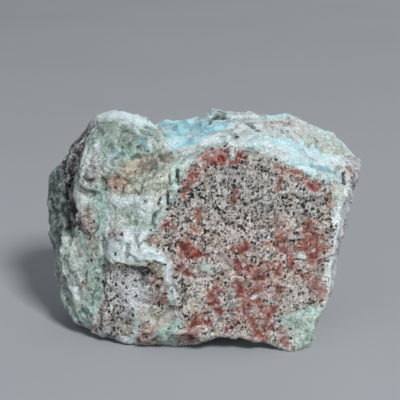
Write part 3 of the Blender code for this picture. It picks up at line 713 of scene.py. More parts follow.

# The near-black trails below are painted shade in cracks, pits and slits.
FRONT_TRAILS = (
    # saddle and top
    Trail(M.PAINTED_CRACK_SHADE, 0.7, ((3, 26.4), (5.4, 27.6), (7.6, 28.4)), 0.75),
    Trail(M.SLATE, 0.6, ((3.4, 26.2), (7.6, 27.6)), 0.6, 1.8),
    Trail(M.TEAL, 1.1, ((-12.4, 25), (-8, 24.4)), 0.8, 1.6),
    Trail(M.TEAL, 1.0, ((-5, 25), (1.6, 25)), 0.7, 1.6),
    Trail(M.TEAL, 0.9, ((-1, 21.4), (4, 22.4)), 0.6),
    Trail(M.TEAL, 0.8, ((3, 25), (9, 25.6)), 0.55),
    Trail(M.WHITE, 0.8, ((-11, 20.2), (-5, 20.6), (0, 21.2)), 0.7),
    Trail(M.WHITE, 1.0, ((-9, 17.6), (-6.6, 17.2)), 0.7),
    Trail(M.PAINTED_CRACK_SHADE, 0.5, ((15.4, 24.6), (17.6, 23.6), (19.4, 23)), 0.7),
    Trail(M.PAINTED_CRACK_SHADE, 0.4, ((11.4, 21), (13, 20.2)), 0.6),
    Trail(M.PLUM, 0.6, ((10.4, 21.6), (12.4, 20.6)), 0.5),
    Trail(M.SLATE, 0.6, ((27, 26), (29.6, 25)), 0.5),
    Trail(M.SKY, 0.9, ((22, 28.4), (27, 28.8), (32, 28.2)), 0.6, 1.4),
    Trail(M.SKY, 0.8, ((32, 28), (38, 25.6), (43, 21.6)), 0.7, 1.4),
    Trail(M.ROSE, 1.2, ((22, 25.4), (27, 26), (31, 25)), 0.35, 2.0),
    Trail(M.SLATE, 0.5, ((13.4, 25.4), (17.4, 24.8)), 0.5, 2.4),
    Trail(M.PAINTED_CRACK_SHADE, 0.3, ((26, 22.6), (27.6, 22.2)), 0.6, 2.0),
    Trail(M.PAINTED_CRACK_SHADE, 0.3, ((37.6, 19.6), (38.8, 18.6)), 0.6, 2.0),
    Trail(M.BROWN, 0.6, ((34, 19), (36, 18.4)), 0.5),
    # blue band
    Trail(M.TEAL, 0.9, ((36.6, 11.6), (40, 10.4), (45, 9.6)), 0.85),
    Trail(M.TEAL, 0.8, ((28.4, 15), (31, 12.6), (34, 11)), 0.6),
    Trail(M.TEAL, 0.6, ((31, 17), (35, 14.8), (38, 13.4)), 0.6, 1.6),
    Trail(M.TEAL, 0.5, ((20.4, 18.6), (25, 18.2)), 0.5, 1.6),
    Trail(M.WHITE, 0.7, ((30, 13.6), (35, 9.6), (42, 8.4)), 0.7, 1.6),
    Trail(M.WHITE, 0.6, ((33, 15.4), (38, 12.2), (44, 11.4)), 0.7, 1.6),
    Trail(M.TEAL, 0.7, ((13, 18.4), (17, 18.8)), 0.45),
    Trail(M.SLATE, 1.2, ((16.4, 16.4), (18.4, 15.4)), 0.55),
    Trail(M.PAINTED_CRACK_SHADE, 0.6, ((35.4, 7.6), (36.4, 7.8)), 0.8),
    Trail(M.BROWN, 0.9, ((46, 10.6),), 0.7),
    Trail(M.CREAM, 0.7, ((44, 2), (44.6, -2)), 0.8),
    # right end
    Trail(M.ROSE, 1.3, ((48.6, 10), (50.6, 5), (49.8, -3)), 0.3, 2.0),
    Trail(M.WHITE, 1.2, ((48.6, 6), (48, -1), (47.2, -9)), 0.8, 1.6),
    Trail(M.RED, 0.7, ((48.2, 10.4), (50, 9), (52.2, 9.2)), 0.7),
    Trail(M.PLUM, 0.5, ((47.6, 9), (47.4, 5)), 0.85),
    Trail(M.PLUM, 0.5, ((50.6, 7.6), (50, 3)), 0.9),
    Trail(M.PLUM, 0.4, ((49.2, 6), (48.6, -1)), 0.7, 1.8),
    Trail(M.PAINTED_CRACK_SHADE, 0.4, ((47.8, 1), (47.6, -3)), 0.6),
    Trail(M.PLUM, 0.45, ((48.6, -7), (47.8, -11)), 0.6),
    # lobe
    Trail(M.GREEN, 1.2, ((-25, 22.8), (-22, 22.4), (-18.4, 20.8)), 0.9),
    Trail(M.GREEN, 1.9, ((-25, 21.6), (-20, 21), (-17.6, 18.6)), 0.8, 1.2),
    Trail(M.SLATE, 1.8, ((-24.6, 22.2), (-22, 21.8), (-19.6, 20.2), (-18.6, 18.2)), 0.8, 1.4),
    Trail(M.TEAL, 1.3, ((-19, 20.4), (-17.4, 18)), 0.5),
    Trail(M.SLATE, 1.0, ((-25.4, 21.6), (-24, 18.6)), 0.6),
    Trail(M.SLATE, 0.6, ((-29.6, 19.2), (-28.6, 15)), 0.75),
    Trail(M.PAINTED_CRACK_SHADE, 0.5, ((-25.4, 15.6), (-24.6, 15.2)), 0.7),
    Trail(M.SLATE, 0.6, ((-33.4, 24.4), (-32, 21.6)), 0.7),
    Trail(M.SLATE, 0.8, ((-22, 14.4), (-19.6, 15)), 0.7),
    Trail(M.TEAL, 1.2, ((-27, 16.4), (-29, 12.6)), 0.5),
    Trail(M.LILAC, 1.2, ((-29.4, 11), (-28.6, 13.6)), 0.6),
    Trail(M.WHITE, 0.45, ((-13.4, 22), (-10.4, 17), (-7.8, 14.6)), 0.8, 0.4),
    Trail(M.WHITE, 0.9, ((-16.6, 18.6), (-16.4, 17.2)), 0.6),
    Trail(M.WHITE, 0.8, ((-34, 19), (-34.6, 17.2)), 0.7),
    Trail(M.WHITE, 0.4, ((-35, 24), (-36.4, 19), (-38, 14.8), (-39, 9.8), (-40, 4)), 0.8, 0.8),
    Trail(M.PAINTED_CRACK_SHADE, 0.5, ((-37.6, 12.6), (-37, 10.4), (-37.8, 8.6)), 0.6, 1.4),
    # crusted face
    Trail(M.PAINTED_CRACK_SHADE, 0.9, ((-38, 7.6), (-36.2, 6), (-34.8, 6.4)), 0.85),
    Trail(M.SLATE, 0.7, ((-35.6, 13), (-35, 9)), 0.6),
    Trail(M.WHITE, 0.8, ((-40.6, 5), (-40.8, 0), (-39.6, -3)), 0.6),
    # Painted shade in the five slits of the mint band, near black in four and slate in the fifth.
    Trail(M.PAINTED_CRACK_SHADE, 0.5, ((-7.3, 10), (-7.2, 5.6)), 0.9, 0.3),
    Trail(M.PAINTED_CRACK_SHADE, 0.45, ((-10, 8), (-9.6, 5)), 0.7, 0.3),
    Trail(M.PAINTED_CRACK_SHADE, 0.55, ((-10.6, 2.4), (-10, -1.6)), 0.95, 0.3),
    Trail(M.PAINTED_CRACK_SHADE, 0.5, ((-13, 0.6), (-13.6, -1.6)), 0.75, 0.3),
    Trail(M.SLATE, 0.42, ((-14.8, -5), (-15, -9)), 0.95, 0.3),
    Trail(M.SLATE, 0.5, ((-13, 4), (-12.6, 2.6)), 0.7),
    Trail(M.BROWN, 0.7, ((-25, -2.2), (-18, -0.6), (-14, -0.4)), 0.25),
    Trail(M.OLIVE, 0.7, ((-24, -4.6), (-19, -3.4)), 0.35),
    Trail(M.WHITE, 0.5, ((-29, -0.4), (-22, 1.4), (-15, 1.0)), 0.7, 1.4),
    Trail(M.CREAM, 0.6, ((-27, 2.4), (-20, 3.6), (-14, 3)), 0.7, 1.6),
    Trail(M.MINT, 0.6, ((-28, -3.6), (-21, -2.6), (-16, -3.4)), 0.7, 1.4),
    Trail(M.MINT, 1.7, ((-33.2, 4.5), (-33, -6), (-33, -16), (-33.6, -26), (-35.2, -36)), 0.75, 1.2),
    Trail(M.GREEN, 1.8, ((-33, -19), (-33.8, -26), (-35.2, -34)), 0.95, 1.6),
    Trail(M.WHITE, 0.5, ((-30, 1), (-30.4, -4), (-30.2, -10), (-30.4, -16)), 0.8),
    Trail(M.WHITE, 0.5, ((-33, -10), (-32.2, -20)), 0.6),
    Trail(M.BROWN, 0.5, ((-34.4, -12), (-33.6, -19)), 0.5),
    # rim
    Trail(M.WHITE, 1.1, ((-20.6, -15), (-16, -16.6), (-12, -19)), 0.9),
    Trail(M.SLATE, 0.5, ((-20.6, -12), (-20.2, -15.2), (-18.4, -13.4)), 0.95, 0.5),
    Trail(M.SLATE, 0.5, ((-24.6, -14.4), (-22.8, -17.6)), 0.9, 0.5),
    Trail(M.ROSE, 0.6, ((-25.4, -19.6), (-21.6, -20.4)), 0.6),
    # lump
    Trail(M.WHITE, 0.9, ((-45.8, -16.6),), 1.0),
    Trail(M.WHITE, 0.7, ((-40.6, -24.4), (-40, -26)), 0.7),
    Trail(M.WHITE, 0.7, ((-40.6, -29.4), (-40.6, -31.6)), 0.8),
    Trail(M.WHITE, 0.6, ((-42, -36), (-40, -41)), 0.55),
    Trail(M.WHITE, 0.6, ((-38.6, -38), (-36.8, -43)), 0.5),
    # Painted shade in slate along the groove between the lump and the speckled hollow, and below it.
    Trail(M.SLATE, 0.5, ((-33.6, -20), (-34.4, -28), (-36, -34)), 0.55),
    Trail(M.SLATE, 0.5, ((-37, -36), (-35.6, -40)), 0.5),
    Trail(M.PAINTED_CRACK_SHADE, 0.6, ((-44.2, 4), (-44.2, -3)), 0.8, 0.4),
    Trail(M.PAINTED_CRACK_SHADE, 0.6, ((-41.6, -1), (-41.2, -8)), 0.9, 0.4),
    Trail(M.PAINTED_CRACK_SHADE, 0.9, ((-46.4, -10.6), (-44.6, -9.6)), 0.8),
    # lower left, speckled
    Trail(M.PAINTED_CRACK_SHADE, 0.9, ((-14, -28.8),), 0.9),
    Trail(M.PAINTED_CRACK_SHADE, 0.8, ((-31.4, -34), (-30.6, -36)), 0.7),
    Trail(M.WHITE, 0.8, ((-21.2, -36), (-20.4, -41), (-21.8, -46)), 0.7),
    Trail(M.WHITE, 0.8, ((-26, -45.4), (-20, -47.4)), 0.8),
    Trail(M.MINT, 0.6, ((-21, -38), (-20.6, -44)), 0.6),
    # pale edge above the speckled face
    Trail(M.CRUST, 1.2, ((-4.2, 13.2), (-0.6, 17.2), (6, 19.4), (14, 19.0), (22, 17.4), (27, 14.8)), 0.8),
    Trail(M.WHITE, 0.8, ((0, 18.2), (6, 20), (14, 19.7), (22, 18.2), (30, 13.6)), 0.7),
    Trail(M.CRUST, 1.0, ((10.8, 17.4), (10.5, 13.8)), 0.95, 0.5),
    Trail(M.ICE, 1.1, ((0, 18.4), (6, 19.8), (14, 19.4), (22, 17.8)), 0.45),
    Trail(M.WHITE, 0.8, ((10.8, 17), (10.5, 14.2)), 0.7, 0.5),
    Trail(M.CREAM, 1.5, ((17, 15.2), (21, 14.6)), 0.5, 1.6),
    # speckled face
    Trail(M.RED, 2.0, ((3.8, 13.6), (5.4, 14.8), (7.8, 15.2)), 1.0, 1.2),
    Trail(M.CRIMSON, 1.3, ((3.8, 13.8), (5.4, 14.8), (7.6, 15)), 0.45, 2.0),
    Trail(M.RED, 1.1, ((12.8, 13.4), (13.8, 14.8)), 0.9, 1.4),
    Trail(M.CRIMSON, 0.8, ((11.2, -28.2), (12.8, -30)), 0.9, 1.6),
    Trail(M.CRIMSON, 0.7, ((24.4, -31.4),), 0.9, 1.6),
    Trail(M.CRIMSON, 0.7, ((15, -36), (14.8, -38)), 0.8, 1.6),
    Trail(M.CRIMSON, 0.7, ((8.8, -42.6),), 0.9, 1.6),
    Trail(M.CRIMSON, 0.7, ((3, -39.4), (3.6, -41.4)), 0.8, 1.6),
    Trail(M.CRIMSON, 0.8, ((13, -20.6), (14.8, -22.4)), 0.8, 1.6),
    Trail(M.CRIMSON, 0.7, ((-6.2, -22.4), (-4.6, -23.4)), 0.7, 1.6),
    Trail(M.CRIMSON, 0.8, ((-9.8, -8.4),), 0.8, 1.6),
    Trail(M.CRIMSON, 0.7, ((26.4, -14.6), (27.6, -17)), 0.7, 1.6),
    Trail(M.CRIMSON, 0.6, ((0.8, -16), (2.4, -18)), 0.6, 1.6),
    Trail(M.CRIMSON, 0.6, ((36.6, 4.4),), 0.8, 1.6),
    Trail(M.MINT, 1.2, ((1.6, -22), (2.6, -23)), 0.9),
    Trail(M.WHITE, 1.1, ((33.4, -18.4), (34.4, -19)), 0.9),
    Trail(M.WHITE, 0.9, ((18, -32),), 0.8),
    Trail(M.MINT, 1.0, ((22.6, -33.6), (24, -33.2)), 0.6),
    Trail(M.SLATE, 0.8, ((10.2, -31), (11, -35)), 0.8),
    Trail(M.LILAC, 0.9, ((8.2, -32), (8.6, -35)), 0.6),
    Trail(M.WHITE, 0.8, ((-9, -29), (-8.4, -32)), 0.9),
    # green chip
    Trail(M.GREEN, 1.4, ((33, -41), (34.6, -43)), 0.8),
    Trail(M.SLATE, 0.6, ((33, -42),), 0.6),
    Trail(M.RED, 0.6, ((29, -49.4), (31, -49)), 0.3),
)

BACK_AREAS = (
    Patch(M.SPECKLE, ((-30, 20), (-8, 26), (16, 20), (26, 4), (22, -18), (4, -28), (-18, -24),
        (-32, -6)), 1.0, 1.2, 2.0),
    Patch(M.SKY, ((-52, 12), (-38, 22), (-20, 30), (0, 31), (0, 25), (-20, 23), (-36, 14),
        (-50, 4)), 0.85, 1.6, 1.8),
    Patch(M.WHITE, ((-44, 8), (-30, 18), (-26, 14), (-34, 2)), 0.6, 1.6, 1.6),
    Patch(M.GREEN, ((18, 26), (40, 24), (48, 6), (40, -8), (28, 2), (22, 14)), 0.9, 1.4, 2.0),
    Patch(M.OLIVE, ((24, -6), (38, -8), (40, -24), (26, -26)), 0.75, 1.4, 2.0),
    Patch(M.MINT, ((-40, -8), (-28, -10), (-24, -30), (-38, -30)), 0.7, 1.6, 2.0),
    Patch(M.ROSE, ((0, -10), (14, -12), (12, -24), (-4, -22)), 0.5, 2.0, 2.0),
    Patch(M.SLATE, ((40, 10), (56, 10), (56, -20), (44, -24)), 0.8, 1.4, 1.6),
)

BACK_TRAILS = (
    Trail(M.WHITE, 1.1, ((27, 20), (24, 4), (26, -14)), 0.8, 1.6),
    Trail(M.WHITE, 0.9, ((-34, 16), (-31, 0), (-24, -16)), 0.7, 1.6),
    Trail(M.WHITE, 0.6, ((-12, 22), (-6, 6), (4, -6), (6, -22)), 0.6, 2.4),
    Trail(M.TEAL, 1.2, ((-42, 14), (-28, 22), (-14, 27)), 0.7, 1.4),
    # Painted shade in a crack.
    Trail(M.PAINTED_CRACK_SHADE, 0.6, ((32, 22), (34, 10), (33, -2)), 0.7),
)

LEFT_AREAS = (
    Patch(M.BASALT, ((-4, 24), (22, 18), (24, 0), (16, -8), (2, -6), (-4, 6)), 0.9, 1.4, 1.6),
    Patch(M.SLATE, ((-28, 22), (-4, 24), (-2, -6), (-10, -26), (-28, -20)), 0.9, 1.4, 1.6),
    Patch(M.GREEN, ((-8, -8), (14, -8), (26, -16), (24, -36), (-6, -36)), 0.8, 1.4, 1.6),
    Patch(M.SLATE, ((-1, 0), (12, -1), (12, -10), (-1, -13)), 0.9, 1.0, 0.8),
)

LEFT_TRAILS = (
    Trail(M.MINT, 1.1, ((-22, 12), (-14, 4), (-12, -8)), 0.7, 1.6),
    Trail(M.CRUST, 1.3, ((-24, -4), (-12, -12), (4, -14)), 0.7, 1.6),
    Trail(M.ROSE, 1.2, ((2, 20), (10, 12)), 0.5, 1.4),
)

RIGHT_AREAS = (
    Patch(M.LILAC, ((-30, 20), (-4, 22), (6, 4), (0, -22), (-26, -24)), 0.8, 1.6, 2.0),
    Patch(M.SPECKLE, ((0, 16), (20, 12), (22, -20), (4, -24), (0, -4)), 0.9, 1.4, 2.0),
    Patch(M.SKY, ((-24, 26), (20, 24), (26, 10), (6, 12), (-8, 16)), 0.7, 1.6, 1.8),
    Patch(M.MINT, ((-26, -10), (-12, -8), (-10, -34), (-26, -34)), 0.7, 1.4, 1.8),
)

RIGHT_TRAILS = (
    Trail(M.WHITE, 1.1, ((-4, 22), (1, 4), (-2, -20)), 0.8, 1.5),
    Trail(M.PLUM, 0.7, ((-14, 14), (-12, 0), (-14, -12)), 0.6, 1.5),
    Trail(M.PLUM, 0.6, ((-20, 8), (-19, -6)), 0.5, 1.5),
)

TOP_AREAS = (
    Patch(M.CRUST, ((4, -20), (48, -14), (50, 10), (34, 24), (4, 24), (-2, 2)), 0.9, 1.6, 2.0),
    Patch(M.SKY, ((-16, -14), (-2, -16), (2, 4), (0, 26), (-18, 26), (-18, 4)), 0.9, 1.4, 2.0),
    Patch(M.TEAL, ((-14, -4), (-8, -6), (-6, 10), (-12, 14)), 0.6, 1.4, 2.0),
    Patch(M.CRUST, ((-6, 18), (2, 14), (12, 10), (12, 28), (-6, 28)), 0.6, 1.6, 2.4),
    Patch(M.ICE, ((-36, -12), (-16, -16), (-12, 15), (-32, 15)), 0.85, 1.4, 1.8),
    Patch(M.GREEN, ((-40, 13), (-16, 15), (-14, 28), (-40, 24)), 0.8, 1.4, 1.8),
    Patch(M.MINT, ((14, 14), (40, 4), (44, 12), (26, 24)), 0.7, 1.6, 2.0),
    Patch(M.ROSE, ((12, -6), (28, -4), (26, 8), (12, 8)), 0.45, 2.0, 2.0),
    Patch(M.CREAM, ((28, -6), (40, -4), (36, 8), (28, 6)), 0.5, 1.8, 2.0),
)

TOP_TRAILS = (
    # Painted shade in a crack.
    Trail(M.PAINTED_CRACK_SHADE, 0.6, ((8, -6), (14, 0), (22, 2)), 0.6, 1.5),
    Trail(M.SLATE, 0.7, ((20, 14), (30, 12)), 0.5, 1.5),
    Trail(M.WHITE, 1.3, ((-6, -8), (-4, 8), (-6, 22)), 0.7, 1.5),
)

# Grooves and ridges of the front: what casts a line of shade from a step away.
FRONT_CUTS = (
    Cut(((-7.3, 10.6), (-7.1, 5.4)), 0.8, 0.9),
    Cut(((-10, 8.4), (-9.6, 4.8)), 0.7, 0.6),
    Cut(((-10.8, 3), (-10, -2)), 0.8, 1.0),
    Cut(((-13, 1), (-13.7, -2)), 0.7, 0.6),
    Cut(((-14.7, -5), (-15, -9)), 0.7, 0.8),
    Cut(((-44.2, 5), (-44.2, -4)), 1.1, 1.5),
    Cut(((-41.7, -0.4), (-41.2, -8.4)), 1.1, 1.6),
    Cut(((-38, 7.6), (-36.2, 6), (-34.8, 6.4)), 1.0, 0.9),
    Cut(((-33.6, -19), (-34.4, -28), (-36, -35)), 1.0, 0.3),
    Cut(((-45, -25.4), (-41.4, -27.4), (-40.2, -31)), 1.6, 0.3),
    Cut(((-25, 22.6), (-21.4, 22), (-18, 20.4)), 2.0, 0.8),
    Cut(((-22.6, 14.2), (-15, 15.2), (-9, 14.8)), 1.4, 0.5),
    Cut(((3, 26.4), (8, 28.4)), 1.4, 0.5),
    Cut(((36.6, 11.6), (45, 9.6)), 1.5, 0.5),
    Cut(((-17.6, -13), (-16, -17.4)), 0.9, 0.5),
    Cut(((-22.2, -11.6), (-20.4, -16)), 1.0, 0.5),
    Cut(((-13, -18), (-10.2, -21.6)), 0.9, 0.5),
    Cut(((-14, -28.8),), 1.4, 1.2),
    Cut(((-31, -33.4), (-30.4, -36.4)), 1.3, 1.0),
    Cut(((47.4, 9), (47, 0), (46.6, -10)), 1.0, 0.5),
    Cut(((50.4, 8), (49.6, -2)), 1.0, 0.5),
    Cut(((-13.4, 22), (-10.4, 17), (-7.8, 14.6)), 1.2, -0.4),
    Cut(((-24.1, -18.6), (-17.2, -21.1), (-12.2, -24.2)), 2.0, -0.5),
    Cut(((-31, -17), (-26, -20.4), (-21.5, -23)), 2.0, -0.35),
)

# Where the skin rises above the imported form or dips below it.
SWELLS = (
    Swell((-19.8, 11.0, 66.2), 6.5, 2.6),
    Swell((-24.2, 8.4, 69.2), 4.0, 1.0),
    Swell((-27.4, -20.4, 31.4), 6.0, 2.2),
    Swell((-23.0, -23.2, 32.2), 4.5, 1.0),
    Swell((-51.0, 5.0, 20.5), 8.0, -1.7),
    Swell((-52.4, 11.0, 46.4), 6.5, -1.7),
    Swell((-33.6, 5.6, 69.6), 5.5, -1.5),
    Swell((-42.5, 8.0, 58.6), 6.0, 1.2),
    Swell((50.2, 5.5, 40.4), 8.0, -1.9),
    Swell((-28.0, -15.0, 54.0), 5.0, 1.0),
    Swell((-22.4, -25.4, 34.8), 4.5, -1.1),
    Swell((-26.6, -22.6, 35.0), 4.0, -0.8),
    Swell((-17.5, -26.2, 34.5), 4.5, -0.7),
    Swell((-24.0, -22.4, 30.6), 5.0, 1.2),
    Swell((-20.5, -23.0, 30.0), 5.0, 1.0),
    Swell((23.0, 12.3, 70.6), 8.0, -1.8),
    Swell((15.5, 13.0, 70.0), 4.0, 0.7),
    Swell((-11.0, 22.8, 66.0), 8.0, -1.5),
    Swell((-4.5, 22.8, 66.4), 7.0, -1.1),
    Swell((-26.6, -20.6, 28.4), 5.0, 1.3),
    Swell((-21.6, -23.1, 28.2), 5.0, 1.2),
    Swell((9.0, -26.6, 5.2), 6.0, 1.2),
    Swell((15.0, -26.4, 5.0), 5.0, 1.0),
)


@dataclass(frozen=True)
class SideWork:
    """Everything that is laid on from one side."""

    side: Side
    areas: tuple[Patch, ...]
    trails: tuple[Trail, ...]


HIDDEN_WORK = (
    SideWork(BACK, BACK_AREAS, BACK_TRAILS),
    SideWork(LEFT, LEFT_AREAS, LEFT_TRAILS),
    SideWork(RIGHT, RIGHT_AREAS, RIGHT_TRAILS),
    SideWork(TOP, TOP_AREAS, TOP_TRAILS),
)


def stain_trails(mineral: Mineral, wider: float, fuller: float, ragged: float) -> tuple[Trail, ...]:
    """One layer of the red stains.

    Args:
        mineral: What it is made of.
        wider: Its width, as a multiple of the stain's.
        fuller: Its strength, as a multiple of the stain's.
        ragged: How much its borders wander.

    Returns:
        A trail for each stain.
    """
    return tuple(
        Trail(mineral, wider * radius, path, fuller * strength, ragged)
        for radius, path, strength in STAINS
    )


FRONT_WORK = SideWork(
    FRONT,
    FRONT_AREAS + FRONT_LEFT + FRONT_SPECKLED,
    stain_trails(M.BLUSH, 2.4, 0.8, 1.5)
    + stain_trails(M.RUST, 1.75, 0.6, 2.6)
    + stain_trails(M.RED, 1.2, 0.95, 1.9)
    + FRONT_TRAILS,
)


class MineralMap:
    """How much of each mineral there is at each point of the surface."""

    def __init__(self, points: np.ndarray, normals: np.ndarray) -> None:
        """Keep the surface and start with no mineral on it.

        Args:
            points: Places in metres, one row each.
            normals: Unit normals, one row each.
        """
        self.points = points
        self.normals = normals
        self.places = points / MM
        self.minerals = list(Mineral)
        self.shares = np.zeros((len(points), len(self.minerals)))
        self.wobble = np.column_stack([cloud_sum(self.places, WOBBLE, seed) for seed in WOBBLE_SEEDS])

    def share(self, mineral: Mineral) -> np.ndarray:
        """How much of one mineral there is now, one number for each row."""
        return self.shares[:, self.minerals.index(mineral)].copy()

    def lay(self, mineral: Mineral, weight: np.ndarray) -> None:
        """Cover what is there with a mineral.

        Args:
            mineral: What is laid on.
            weight: How fully it covers, from 0 to 1, one number for each row.
        """
        self.shares *= (1.0 - weight)[:, None]
        self.shares[:, self.minerals.index(mineral)] += weight

    def lay_hidden_mix(self) -> None:
        """Fill the whole stone with the crust and its veins, for the sides to cover."""
        border = 0.12
        strength = 0.9
        self.lay(M.CRUST, np.ones(len(self.places)))
        for vein in HIDDEN_MIX:
            parts = ((1.0, vein.length, vein.seed), (0.25, vein.length / 4, vein.seed + 1))
            pattern = cloud_sum(self.places, parts)
            self.lay(vein.mineral, strength * smooth_step(pattern, vein.floor, vein.floor + border))

    def lay_tint(self, tint: Tint, ground: np.ndarray, pattern: np.ndarray) -> None:
        """Cover the ground with a mineral where clouds are strong.

        Args:
            tint: The mineral, and where it shows.
            ground: How much ground there is, one number for each row.
            pattern: The clouds, one number for each row.
        """
        self.lay(tint.mineral, tint.strength * ground * smooth_step(pattern, tint.start, tint.full))

    def lay_stains(self) -> None:
        """Stain the speckled rock red in clusters, for the front to cover."""
        clusters = cloud_sum(self.places, STAIN_CLUSTERS)
        ground = self.share(M.SPECKLE)
        for tint in STAIN_TINTS:
            self.lay_tint(tint, ground, clusters)

    def lay_ground_clouds(self) -> None:
        """Tint the speckled ground tan here and lilac there."""
        pattern = cloud_sum(self.places, GROUND_CLOUDS)
        ground = self.share(M.SPECKLE) + self.share(M.BLUSH)
        self.lay_tint(BRIGHT_TINT, ground, pattern)
        self.lay_tint(DARK_TINT, ground, -pattern)

    def lay_side(self, work: SideWork) -> None:
        """Lay on one side's areas and trails.

        Args:
            work: The side and what it holds.
        """
        facing = work.side.facing(self.points, self.normals)
        seen = np.flatnonzero(facing > 0.0)
        places = work.side.places(self.points[seen])
        for area in work.areas:
            moved = places + area.ragged * self.wobble[seen]
            near = self.near(moved, area.outline, MARGIN * area.soft)
            depth = outline_depth(moved[near], area.outline)
            cover = area.strength * smooth_step(depth, -area.soft, area.soft)
            self.lay_rows(area.mineral, seen[near], cover * facing[seen[near]])
        for trail in work.trails:
            moved = places + trail.ragged * TRAIL_WOBBLE * self.wobble[seen]
            near = self.near(moved, trail.path, MARGIN * trail.radius)
            gap = path_distance(moved[near], trail.path)
            cover = 1.0 - smooth_step(gap, TRAIL_CORE * trail.radius, TRAIL_RIM * trail.radius)
            self.lay_rows(trail.mineral, seen[near], trail.strength * cover * facing[seen[near]])

    def lay_rows(self, mineral: Mineral, rows: np.ndarray, cover: np.ndarray) -> None:
        """Cover some rows with a mineral.

        Args:
            mineral: What is laid on.
            rows: Which rows.
            cover: How fully it covers each of them, from 0 to 1.
        """
        weight = np.zeros(len(self.points))
        weight[rows] = cover
        self.lay(mineral, weight)

    @staticmethod
    def near(places: np.ndarray, path: Path, margin: float) -> np.ndarray:
        """Which places lie inside a path's box.

        Args:
            places: (across, up), one row each.
            path: Corners in order.
            margin: How much the box is grown.

        Returns:
            The numbers of their rows.
        """
        corners = np.array(path, float)
        low, high = corners.min(axis=0) - margin, corners.max(axis=0) + margin
        return np.flatnonzero(np.all((places > low) & (places < high), axis=1))

    def blend(self, reading: str) -> np.ndarray:
        """One number of the tones, mixed by the minerals' shares.

        Args:
            reading: Its name in Tone.

        Returns:
            One number for each row.
        """
        values = np.array([getattr(TONES[mineral], reading) for mineral in self.minerals])
        return self.shares @ values


